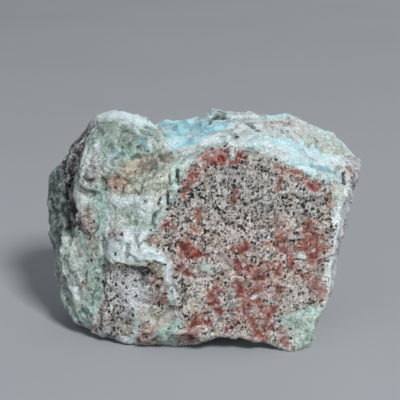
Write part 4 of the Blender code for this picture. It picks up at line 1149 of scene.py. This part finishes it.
@dataclass
class StoneSurface:
    """The stone's skin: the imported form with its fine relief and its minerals.

    voxel is the size of its facets and smoothing how often it is relaxed first. fractures are the
    sizes of the small flat faces that it broke into, and how flat each is, from 0 to 1. lean is how
    far they tilt, fray how far their borders wander and bite how deep they go, both in face sizes,
    and seed starts the dice for them. brittle and least are how much the lumpy minerals break, and
    how much any does. lumps, grit and ridges are how high the three kinds of relief stand. A point
    that lies crevice below its surroundings is fully hollow.
    """

    node: bpy.types.Object
    voxel: float = 0.572
    smoothing: int = 3
    fractures: tuple = ((11.0, 0.6), (5.5, 0.6), (2.8, 0.5))
    lean: float = 0.10
    fray: float = 0.35
    bite: float = 0.16
    seed: int = 5
    brittle: float = 3.4
    least: float = 0.2
    lumps: float = 1.3
    grit: float = 0.5
    ridges: float = 2.0
    crevice: float = 0.35
    skin: bpy.types.Object = field(init=False)

    def build(self) -> bpy.types.Object:
        """Make the skin.

        Returns:
            The finished object, at the origin.
        """
        self.copy_form()
        self.refine()
        minerals = MineralMap(*self.read())
        minerals.lay_hidden_mix()
        for work in HIDDEN_WORK:
            minerals.lay_side(work)
        minerals.lay_stains()
        minerals.lay_side(FRONT_WORK)
        minerals.lay_ground_clouds()
        self.raise_relief(minerals, self.break_up(minerals), self.relief(minerals))
        self.store(minerals, self.hollowness())
        return self.skin

    def copy_form(self) -> None:
        """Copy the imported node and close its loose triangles."""
        bpy.ops.object.select_all(action="DESELECT")
        self.skin = bpy.data.objects.new("stone_surface", self.node.data.copy())
        bpy.context.scene.collection.objects.link(self.skin)
        self.skin.data.materials.clear()
        self.skin.select_set(True)
        bpy.context.view_layer.objects.active = self.skin
        bpy.ops.object.mode_set(mode="EDIT")
        bpy.ops.mesh.select_all(action="SELECT")
        bpy.ops.mesh.remove_doubles(threshold=0.01 * MM)
        bpy.ops.mesh.normals_make_consistent(inside=False)
        bpy.ops.object.mode_set(mode="OBJECT")

    def refine(self) -> None:
        """Give the form even, fine facets."""
        finer = self.skin.modifiers.new("finer", "REMESH")
        finer.mode = "VOXEL"
        finer.voxel_size = self.voxel * MM
        bpy.ops.object.modifier_apply(modifier="finer")
        softer = self.skin.modifiers.new("softer", "SMOOTH")
        softer.factor = 0.5
        softer.iterations = self.smoothing
        bpy.ops.object.modifier_apply(modifier="softer")

    def read(self) -> tuple[np.ndarray, np.ndarray]:
        """Read the skin as it is now.

        Returns:
            (places in metres, unit normals), one row for each vertex.
        """
        mesh = self.skin.data
        points = np.empty(len(mesh.vertices) * 3)
        mesh.vertices.foreach_get("co", points)
        normals = np.empty(len(mesh.vertices) * 3)
        mesh.vertex_normals.foreach_get("vector", normals)
        return points.reshape(-1, 3), normals.reshape(-1, 3)

    def break_up(self, minerals: MineralMap) -> np.ndarray:
        """Flatten the skin piece by piece, as small faces that broke off.

        Args:
            minerals: What the surface is made of, and where.

        Returns:
            The new places in metres, one row each.
        """
        dice = np.random.default_rng(self.seed)
        points, normals = minerals.points, minerals.normals
        brittle = np.clip(self.brittle * minerals.blend("lumps") + self.least, 0.0, 1.0)
        broken = points.copy()
        for size, flat in self.fractures:
            count = int(len(points) * (self.voxel / size) ** 2)
            middles = dice.choice(len(points), count, replace=False)
            tree = KDTree(count)
            for number, middle in enumerate(middles):
                tree.insert(points[middle], number)
            tree.balance()
            jitter = np.column_stack(
                [clouds(minerals.places, 0.5 * size, size + seed) for seed in (1.0, 2.0, 3.0)]
            )
            asked = points + self.fray * size * MM * jitter
            cell = middles[[tree.find(place)[1] for place in asked]]
            facing = normals[cell] + dice.normal(0.0, self.lean, (len(points), 3))[cell]
            facing /= np.linalg.norm(facing, axis=1)[:, None]
            above = np.einsum("ij,ij->i", points - points[cell], facing)
            deepest = self.bite * size * MM
            above = np.clip(above, -deepest, deepest)
            broken -= facing * (above * flat * brittle)[:, None]
        return broken

    def relief(self, minerals: MineralMap) -> np.ndarray:
        """How far each point rises, in millimetres.

        Args:
            minerals: What the surface is made of, and where.

        Returns:
            One height for each row.
        """
        places = minerals.places
        lumps = cloud_sum(places * np.array(LAYERING), LUMPS)
        ridges = 1.0 - 2.0 * np.abs(cloud_sum(places, RIDGES))
        lift = minerals.blend("lumps") * (self.lumps * lumps + self.grit * cloud_sum(places, GRIT))
        lift += minerals.blend("hackle") * self.ridges * (ridges - 0.5)
        facing = FRONT.facing(minerals.points, minerals.normals)
        bent = FRONT.places(minerals.points) + CUT_WOBBLE * minerals.wobble
        for cut in FRONT_CUTS:
            gap = path_distance(bent, cut.path)
            lift -= facing * cut.depth * (1.0 - smooth_step(gap, 0.0, cut.width))
        for swell in SWELLS:
            gap = np.linalg.norm(places - np.array(swell.place), axis=1)
            lift += swell.height * (1.0 - smooth_step(gap, 0.0, swell.radius))
        return lift

    def raise_relief(self, minerals: MineralMap, broken: np.ndarray, lift: np.ndarray) -> None:
        """Move the skin by its relief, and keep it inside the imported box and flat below.

        Args:
            minerals: The surface as it was before breaking.
            broken: Places after breaking, in metres, one row each.
            lift: Heights in millimetres, one for each row.
        """
        low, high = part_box(self.node.name)
        raised = broken + minerals.normals * (lift * MM)[:, None]
        raised = np.clip(raised, np.array(low), np.array(high))
        just_above = low.z + 0.6 * self.voxel * MM
        downward = -0.6
        resting = (minerals.points[:, 2] < just_above) & (minerals.normals[:, 2] < downward)
        raised[resting, 2] = low.z
        self.skin.data.vertices.foreach_set("co", raised.ravel())
        self.skin.data.update()

    def hollowness(self) -> np.ndarray:
        """How deep each point lies below its surroundings, which are read from its neighbours.

        Returns:
            0 to 1 in a crevice and -1 to 0 on a crest, for each row.
        """
        rounds = 6
        points, normals = self.read()
        edges = np.empty(len(self.skin.data.edges) * 2, int)
        self.skin.data.edges.foreach_get("vertices", edges)
        edges = edges.reshape(-1, 2)
        count = np.bincount(edges.ravel(), minlength=len(points)).astype(float)
        count[count == 0] = 1.0
        middle = points.copy()
        for _ in range(rounds):
            total = np.zeros_like(middle)
            for axis in range(3):
                total[:, axis] = np.bincount(edges[:, 0], middle[edges[:, 1], axis], len(points))
                total[:, axis] += np.bincount(edges[:, 1], middle[edges[:, 0], axis], len(points))
            middle = total / count[:, None]
        sunk = np.einsum("ij,ij->i", middle - points, normals) / MM
        return np.clip(sunk / self.crevice, -1.0, 1.0)

    def store(self, minerals: MineralMap, hollow: np.ndarray) -> None:
        """Keep the minerals and how hollow each point lies as attributes of the mesh.

        Args:
            minerals: What the surface is made of, and where.
            hollow: How deep each point lies.
        """
        mesh = self.skin.data
        layers = {mineral.value: minerals.share(mineral) for mineral in minerals.minerals}
        for reading in ("grains", "flecks", "clean", "dull"):
            layers[reading] = minerals.blend(reading)
        layers["hollow"] = hollow
        for name, values in layers.items():
            attribute = mesh.attributes.new(name, "FLOAT", "POINT")
            attribute.data.foreach_set("value", values.astype(np.float32))
        mesh.shade_smooth()


def fineness(length: float) -> float:
    """How often clouds of a length in millimetres repeat per metre."""
    return 1.0 / (length * MM)


class NodeSheet:
    """A node tree that is filled in from left to right."""

    def __init__(self, tree: bpy.types.NodeTree) -> None:
        """Keep the tree."""
        self.tree = tree

    def add(self, kind: str, inputs: dict | None = None, **settings: object) -> bpy.types.Node:
        """Place a node.

        Args:
            kind: Its type, without the leading ShaderNode.
            inputs: Values or output sockets for its inputs, by name or number.
            settings: Its own settings.

        Returns:
            The node.
        """
        node = self.tree.nodes.new("ShaderNode" + kind)
        for name, value in settings.items():
            setattr(node, name, value)
        for name, value in (inputs or {}).items():
            if isinstance(value, bpy.types.NodeSocket):
                self.tree.links.new(value, node.inputs[name])
            else:
                node.inputs[name].default_value = value
        return node

    def math(self, operation: str, first: Number, second: Number, clamp: bool = False) -> Socket:
        """One sum.

        Args:
            operation: What is done, such as ADD.
            first: The first number or socket.
            second: The second one.
            clamp: Whether the result is kept from 0 to 1.

        Returns:
            Its result.
        """
        node = self.add("Math", {0: first, 1: second}, operation=operation, use_clamp=clamp)
        return node.outputs[0]

    def mix(self, amount: Number, first: Paint, second: Paint, blend: str = "MIX") -> Socket:
        """A colour between two.

        Args:
            amount: How much of the second shows.
            first: The first colour or socket.
            second: The second one.
            blend: How they are joined.

        Returns:
            Its result.
        """
        inputs = {"Factor": amount, 6: first, 7: second}
        return self.add("Mix", inputs, data_type="RGBA", blend_type=blend).outputs[2]

    def vector(self, operation: str, first: Socket, second: Socket | Triple) -> Socket:
        """One sum of two vectors.

        Args:
            operation: What is done, such as ADD.
            first: The first vector.
            second: The second one.

        Returns:
            Its result.
        """
        return self.add("VectorMath", {0: first, 1: second}, operation=operation).outputs[0]

    def scaled(self, vector: Socket, factor: Number) -> Socket:
        """A vector times a number."""
        return self.add("VectorMath", {0: vector, "Scale": factor}, operation="SCALE").outputs[0]

    def noise(self, place: Socket, scale: Number, detail: float, rough: float = 0.5) -> bpy.types.Node:
        """Clouds of noise.

        Args:
            place: Where they are read.
            scale: How often they repeat per metre.
            detail: How many finer clouds lie in them.
            rough: How strong those are.

        Returns:
            The node, with a value and a colour.
        """
        inputs = {"Vector": place, "Scale": scale, "Detail": detail, "Roughness": rough}
        return self.add("TexNoise", inputs)

    def sharpened(self, value: Socket, contrast: Number) -> Socket:
        """A noise spread out around its middle, and kept from 0 to 1.

        Args:
            value: The noise.
            contrast: How far it is spread.

        Returns:
            Its result.
        """
        spread = self.math("MULTIPLY", self.math("SUBTRACT", value, 0.5), contrast)
        return self.math("ADD", spread, 0.5, clamp=True)

    def reading(self, name: str) -> Socket:
        """The mesh attribute of that name."""
        return self.add("Attribute", attribute_name=name).outputs["Fac"]


def new_group(name: str, inputs: tuple, outputs: tuple) -> tuple:
    """A shader node group with named sockets.

    Args:
        name: Its name.
        inputs: (name, type) of each input.
        outputs: (name, type) of each output.

    Returns:
        (the group, its sheet, its input node, its output node)
    """
    group = bpy.data.node_groups.new(name, "ShaderNodeTree")
    for direction, sockets in (("INPUT", inputs), ("OUTPUT", outputs)):
        for label, kind in sockets:
            group.interface.new_socket(name=label, in_out=direction, socket_type="NodeSocket" + kind)
    start = group.nodes.new("NodeGroupInput")
    end = group.nodes.new("NodeGroupOutput")
    return group, NodeSheet(group), start, end


def mottle_group() -> bpy.types.NodeTree:
    """A mineral's clouds of light and dark, and how it breaks up where it meets another.

    Returns:
        The group. Its Color is already multiplied by its Weight.
    """
    group, sheet, start, end = new_group(
        "mottled_mineral",
        (
            ("Place", "Vector"),
            ("Light", "Color"),
            ("Dark", "Color"),
            ("Fineness", "Float"),
            ("Contrast", "Float"),
            ("Share", "Float"),
        ),
        (("Color", "Vector"), ("Weight", "Float")),
    )
    patch_level, patch_contrast, between = 0.42, 8.0, 0.16
    inputs = start.outputs
    cloud = sheet.noise(inputs["Place"], inputs["Fineness"], 5.0, 0.7)
    parts = sheet.add("SeparateColor", {0: cloud.outputs[1]}).outputs
    colour = sheet.mix(sheet.sharpened(parts[0], inputs["Contrast"]), inputs["Dark"], inputs["Light"])
    above = sheet.math("SUBTRACT", parts[1], patch_level)
    patchy = sheet.math("MULTIPLY", above, patch_contrast, clamp=True)
    weight = sheet.math("MULTIPLY", sheet.math("ADD", patchy, between), inputs["Share"])
    group.links.new(sheet.scaled(colour, weight), end.inputs["Color"])
    group.links.new(weight, end.inputs["Weight"])
    return group


def grain_group() -> bpy.types.NodeTree:
    """Ragged mineral grains.

    Returns:
        The group. Its Mask is 1 on a grain and 0 beside it.
    """
    group, sheet, start, end = new_group(
        "mineral_grains",
        (("Place", "Vector"), ("Fineness", "Float"), ("Size", "Float"), ("Amount", "Float")),
        (("Mask", "Float"),),
    )
    inputs = start.outputs
    sway = 1.7
    edge, presence = 13.0, 14.0
    smallest, spread = 0.55, 0.7
    bends = sheet.noise(inputs["Place"], sheet.math("MULTIPLY", inputs["Fineness"], sway), 2.0, 0.6)
    centred = sheet.vector("SUBTRACT", bends.outputs[1], (0.5, 0.5, 0.5))
    shift = sheet.scaled(centred, sheet.math("DIVIDE", sway, inputs["Fineness"]))
    place = sheet.vector("ADD", inputs["Place"], shift)
    cells = sheet.add("TexVoronoi", {"Vector": place, "Scale": inputs["Fineness"], "Randomness": 1.0})
    parts = sheet.add("SeparateColor", {0: cells.outputs["Color"]}).outputs
    chosen = sheet.math("SUBTRACT", inputs["Amount"], parts[0])
    present = sheet.math("MULTIPLY", chosen, presence, clamp=True)
    width = sheet.math("ADD", sheet.math("MULTIPLY", parts[1], spread), smallest)
    radius = sheet.math("MULTIPLY", width, inputs["Size"])
    inside = sheet.math("SUBTRACT", radius, cells.outputs["Distance"])
    body = sheet.math("MULTIPLY", inside, edge, clamp=True)
    group.links.new(sheet.math("MULTIPLY", body, present), end.inputs["Mask"])
    return group


@dataclass(frozen=True)
class StoneFinish:
    """How the minerals, their grains, painted crevice shade and painted crest highlights show.

    cloud, drift, sand and grit are the lengths of its noises. gathering is how much the grains crowd
    and thin out, fibreless how soon grains hide the fibres, and sandy how much sand the minerals
    free of grime show. unevenness is how much the grit changes the roughness, and bump how deep it
    is. The crevice shade and crest highlight are how strongly the low places take a painted shade
    and the high places a painted highlight, each towards its own tone.
    """

    specular: float = 0.35
    cloud: float = 4.6
    drift: float = 4.5
    sand: float = 0.55
    grit: float = 1.0
    gathering: float = 2.4
    fibreless: float = 1.4
    sandy: float = 0.25
    unevenness: float = 0.2
    bump: float = 0.9
    # The painted shade of the crevices and the painted highlight of the crests: strengths, then tones.
    painted_crevice_shade: float = 0.7
    painted_crest_highlight: float = 0.3
    painted_crevice_shade_tone: tuple = (0.22, 0.22, 0.21, 1.0)
    painted_crest_highlight_tone: tuple = (0.83, 0.86, 0.87, 1.0)

    def material(self) -> bpy.types.Material:
        """Build the stone's material.

        Returns:
            The material.
        """
        material = bpy.data.materials.new("rough_larimar")
        material.use_nodes = True
        sheet = NodeSheet(material.node_tree)
        shader = material.node_tree.nodes["Principled BSDF"]
        place = sheet.add("TexCoord").outputs["Object"]
        colour = self.mineral_colour(sheet, place)
        # 1 where grime clouds, painted crevice shade and painted crest highlights show; 0 on the cleanest
        # minerals.
        dirt_and_shade = sheet.math("SUBTRACT", 1.0, sheet.reading("clean"))
        colour = self.with_clouds(sheet, place, colour, dirt_and_shade)
        colour = self.with_grains(sheet, place, colour)
        # Painted shade darkens each crevice and a painted highlight pales each crest.
        colour = self.with_painted_shade_and_highlight(sheet, colour, dirt_and_shade)
        material.node_tree.links.new(colour, shader.inputs["Base Color"])
        self.surface(sheet, place, shader)
        return material

    @staticmethod
    def mineral_colour(sheet: NodeSheet, place: Socket) -> Socket:
        """Mix the mottled minerals by their shares.

        Args:
            sheet: The material's sheet.
            place: Object coordinates.

        Returns:
            The colour.
        """
        mottle = mottle_group()
        colours, weights = [], []
        for number, (mineral, tone) in enumerate(TONES.items()):
            shift = (0.013 * number, 0.029 * number, 0.007 * number)
            values = {
                "Place": sheet.vector("ADD", place, shift),
                "Light": tone.light + (1.0,),
                "Dark": tone.dark + (1.0,),
                "Fineness": fineness(tone.mottle),
                "Contrast": tone.contrast,
                "Share": sheet.reading(mineral.value),
            }
            part = sheet.add("Group", values, node_tree=mottle)
            colours.append(part.outputs["Color"])
            weights.append(part.outputs["Weight"])
        colour, weight = colours[0], weights[0]
        for more_colour, more_weight in zip(colours[1:], weights[1:]):
            colour = sheet.vector("ADD", colour, more_colour)
            weight = sheet.math("ADD", weight, more_weight)
        return sheet.scaled(colour, sheet.math("DIVIDE", 1.0, weight))

    @staticmethod
    def veiled(sheet: NodeSheet, colour: Socket, veil: Veil, noise: Socket, amount: Number) -> Socket:
        """Multiply a colour by a tint that follows a noise.

        Args:
            sheet: The material's sheet.
            colour: The colour so far.
            veil: The tint.
            noise: What it follows.
            amount: How strong it is.

        Returns:
            The new colour.
        """
        tint = sheet.mix(sheet.sharpened(noise, veil.contrast), veil.low, veil.high)
        return sheet.mix(amount, colour, tint, "MULTIPLY")

    def with_clouds(self, sheet: NodeSheet, place: Socket, colour: Socket, dirt_and_shade: Socket) -> Socket:
        """Vary the minerals: broad clouds, level fibres in the crust, warmth and sand.

        Args:
            sheet: The material's sheet.
            place: Object coordinates.
            colour: The colour so far.
            dirt_and_shade: 1 where grime clouds and the painted crevice shade show, 0 where none do.

        Returns:
            The new colour.
        """
        cloud = sheet.noise(place, fineness(self.cloud), 4.0, 0.6)
        parts = sheet.add("SeparateColor", {0: cloud.outputs[1]}).outputs
        colour = self.veiled(sheet, colour, SHADE, parts[0], dirt_and_shade)
        stretched = sheet.add("Mapping", {0: place, 3: FIBRES}).outputs[0]
        fibre = sheet.noise(stretched, 1.0, 3.0).outputs[0]
        grainy = sheet.math("MULTIPLY", sheet.reading("grains"), self.fibreless, clamp=True)
        plain = sheet.math("SUBTRACT", 1.0, grainy)
        colour = self.veiled(sheet, colour, STRANDS, fibre, sheet.math("MULTIPLY", plain, dirt_and_shade))
        colour = self.veiled(sheet, colour, WARMTH, parts[2], 1.0)
        sand = sheet.noise(place, fineness(self.sand), 2.0).outputs[0]
        amount = sheet.math("ADD", dirt_and_shade, self.sandy, clamp=True)
        return self.veiled(sheet, colour, SAND, sand, amount)

    def with_grains(self, sheet: NodeSheet, place: Socket, colour: Socket) -> Socket:
        """Set pale flecks and dark grains into the groundmass, and a few into the crust.

        Args:
            sheet: The material's sheet.
            place: Object coordinates.
            colour: The colour so far.

        Returns:
            The new colour.
        """
        grains = grain_group()
        drift = sheet.noise(place, fineness(self.drift), 3.0).outputs[0]
        drift = sheet.math("MULTIPLY", sheet.math("SUBTRACT", drift, 0.5), self.gathering)
        around = sheet.math("ADD", drift, 1.0)
        amounts = {
            reading: sheet.math("MULTIPLY", sheet.reading(reading), around, clamp=True)
            for reading in ("grains", "flecks")
        }
        for number, layer in enumerate(GRAIN_LAYERS):
            shift = (0.017 * number, 0.005 * number, 0.023 * number)
            values = {
                "Place": sheet.vector("ADD", place, shift),
                "Fineness": fineness(layer.spacing),
                "Size": layer.size,
                "Amount": sheet.math("MULTIPLY", amounts[layer.reading], layer.share),
            }
            mask = sheet.add("Group", values, node_tree=grains).outputs["Mask"]
            colour = sheet.mix(sheet.math("MULTIPLY", mask, layer.cover), colour, layer.tone)
        return colour

    def with_painted_shade_and_highlight(self, sheet: NodeSheet, colour: Socket, dirt_and_shade: Socket) -> Socket:
        """Paint shade into each crevice and a highlight onto each crest, a little.

        Args:
            sheet: The material's sheet.
            colour: The colour so far.
            dirt_and_shade: 1 where the painted crevice shade and crest highlight show fully, 0 where none.

        Returns:
            The new colour.
        """
        hollow = sheet.reading("hollow")
        # down is how much painted crevice shade, up how much painted crest highlight.
        down = sheet.math("MULTIPLY", hollow, self.painted_crevice_shade, clamp=True)
        up = sheet.math("MULTIPLY", hollow, -self.painted_crest_highlight, clamp=True)
        # Painted shade in each crevice, then a painted highlight on each crest.
        colour = sheet.mix(sheet.math("MULTIPLY", down, dirt_and_shade), colour, self.painted_crevice_shade_tone, "MULTIPLY")
        return sheet.mix(sheet.math("MULTIPLY", up, dirt_and_shade), colour, self.painted_crest_highlight_tone)

    def surface(self, sheet: NodeSheet, place: Socket, shader: bpy.types.Node) -> None:
        """Set how rough and how uneven the skin is.

        Args:
            sheet: The material's sheet.
            place: Object coordinates.
            shader: The material's shader.
        """
        links = sheet.tree.links
        shader.inputs["Specular IOR Level"].default_value = self.specular
        grit = sheet.noise(place, fineness(self.grit), 5.0, 0.75).outputs[0]
        dull = sheet.math("ADD", sheet.reading("dull"), sheet.math("MULTIPLY", grit, self.unevenness))
        rough = sheet.math("SUBTRACT", dull, 0.5 * self.unevenness, clamp=True)
        links.new(rough, shader.inputs["Roughness"])
        bump = sheet.add("Bump", {"Height": grit, "Strength": 1.0, "Distance": self.bump * MM})
        links.new(bump.outputs[0], shader.inputs["Normal"])


@dataclass(frozen=True)
class Lamp:
    """A square soft light: its place and its side in metres, and its power in watts."""

    name: str
    place: Triple
    size: float
    power: float


LAMPS = (
    Lamp("key", (0.87, -1.88, 1.78), 0.56, 76.0),
    Lamp("fill", (-1.5, -2.1, 0.5), 1.3, 12.0),
    Lamp("back", (0.5, 2.0, 0.5), 1.4, 7.0),
)


@dataclass(frozen=True)
class Studio:
    """A plain pale floor, soft lights and the camera."""

    floor_radius: float = 2.4
    floor_tone: Triple = (0.345, 0.360, 0.383)
    floor_clouds: float = 6.0
    floor_contrast: float = 0.06
    floor_roughness: float = 0.9
    floor_specular: float = 0.2
    sky_tone: tuple = (0.33, 0.345, 0.365, 1.0)
    sky_strength: float = 0.76

    def build(self) -> None:
        """Make the floor, the lights, the sky and the camera."""
        self.make_floor()
        for lamp in LAMPS:
            self.make_light(lamp)
        self.make_sky()
        self.make_camera()
        bpy.context.scene.view_settings.view_transform = "Standard"

    def make_floor(self) -> None:
        """A wide round floor."""
        bpy.ops.object.select_all(action="DESELECT")
        bpy.ops.mesh.primitive_circle_add(vertices=96, radius=self.floor_radius, fill_type="TRIFAN")
        floor = bpy.context.object
        floor.name = "floor"
        floor.data.name = "floor"
        bpy.ops.object.shade_smooth()
        floor.data.materials.append(self.floor_material())

    def floor_material(self) -> bpy.types.Material:
        """Build the floor's dull, faintly cloudy grey.

        Returns:
            The material.
        """
        material = bpy.data.materials.new("pale_floor")
        material.use_nodes = True
        sheet = NodeSheet(material.node_tree)
        shader = material.node_tree.nodes["Principled BSDF"]
        place = sheet.add("TexCoord").outputs["Object"]
        cloud = sheet.noise(place, self.floor_clouds, 2.0).outputs[0]
        darker, paler = (
            tuple(share * value for value in self.floor_tone) + (1.0,)
            for share in (1.0 - self.floor_contrast, 1.0 + self.floor_contrast)
        )
        material.node_tree.links.new(sheet.mix(cloud, darker, paler), shader.inputs["Base Color"])
        shader.inputs["Roughness"].default_value = self.floor_roughness
        shader.inputs["Specular IOR Level"].default_value = self.floor_specular
        return material

    @staticmethod
    def make_light(lamp: Lamp) -> None:
        """Hang a light that looks at the stone.

        Args:
            lamp: The light.
        """
        bpy.ops.object.light_add(type="AREA", location=lamp.place)
        light = bpy.context.object
        light.name = lamp.name
        light.data.size = lamp.size
        light.data.energy = lamp.power
        light.visible_camera = False
        light.rotation_euler = (VIEW_TARGET - Vector(lamp.place)).to_track_quat("-Z", "Y").to_euler()

    def make_sky(self) -> None:
        """Plain soft light from all around."""
        world = bpy.data.worlds.new("soft_sky")
        world.use_nodes = True
        background = world.node_tree.nodes["Background"]
        background.inputs["Color"].default_value = self.sky_tone
        background.inputs["Strength"].default_value = self.sky_strength
        bpy.context.scene.world = world

    @staticmethod
    def make_camera() -> None:
        """The photograph's view."""
        camera = bpy.data.cameras.new("photo_view")
        camera.sensor_width = SENSOR_WIDTH
        camera.lens = SENSOR_WIDTH * VIEW_DISTANCE / VIEW_WIDTH
        holder = bpy.data.objects.new("photo_view", camera)
        bpy.context.scene.collection.objects.link(holder)
        look = Vector((0.0, COS_ELEVATION, -SIN_ELEVATION))
        holder.location = VIEW_TARGET - VIEW_DISTANCE * look
        holder.rotation_euler = look.to_track_quat("-Z", "Y").to_euler()
        bpy.context.scene.camera = holder


def main() -> None:
    """Dress the stone, set up the studio and log the stone's face count."""
    logging.basicConfig(level=logging.INFO)
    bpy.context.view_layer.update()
    Studio().build()
    stone = StoneSurface(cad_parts["stone"]).build()
    stone.data.materials.append(StoneFinish().material())
    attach(stone, "root")
    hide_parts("stone")
    log.info("%s: %d faces", stone.name, len(stone.data.polygons))


if __name__ == "__main__":
    main()
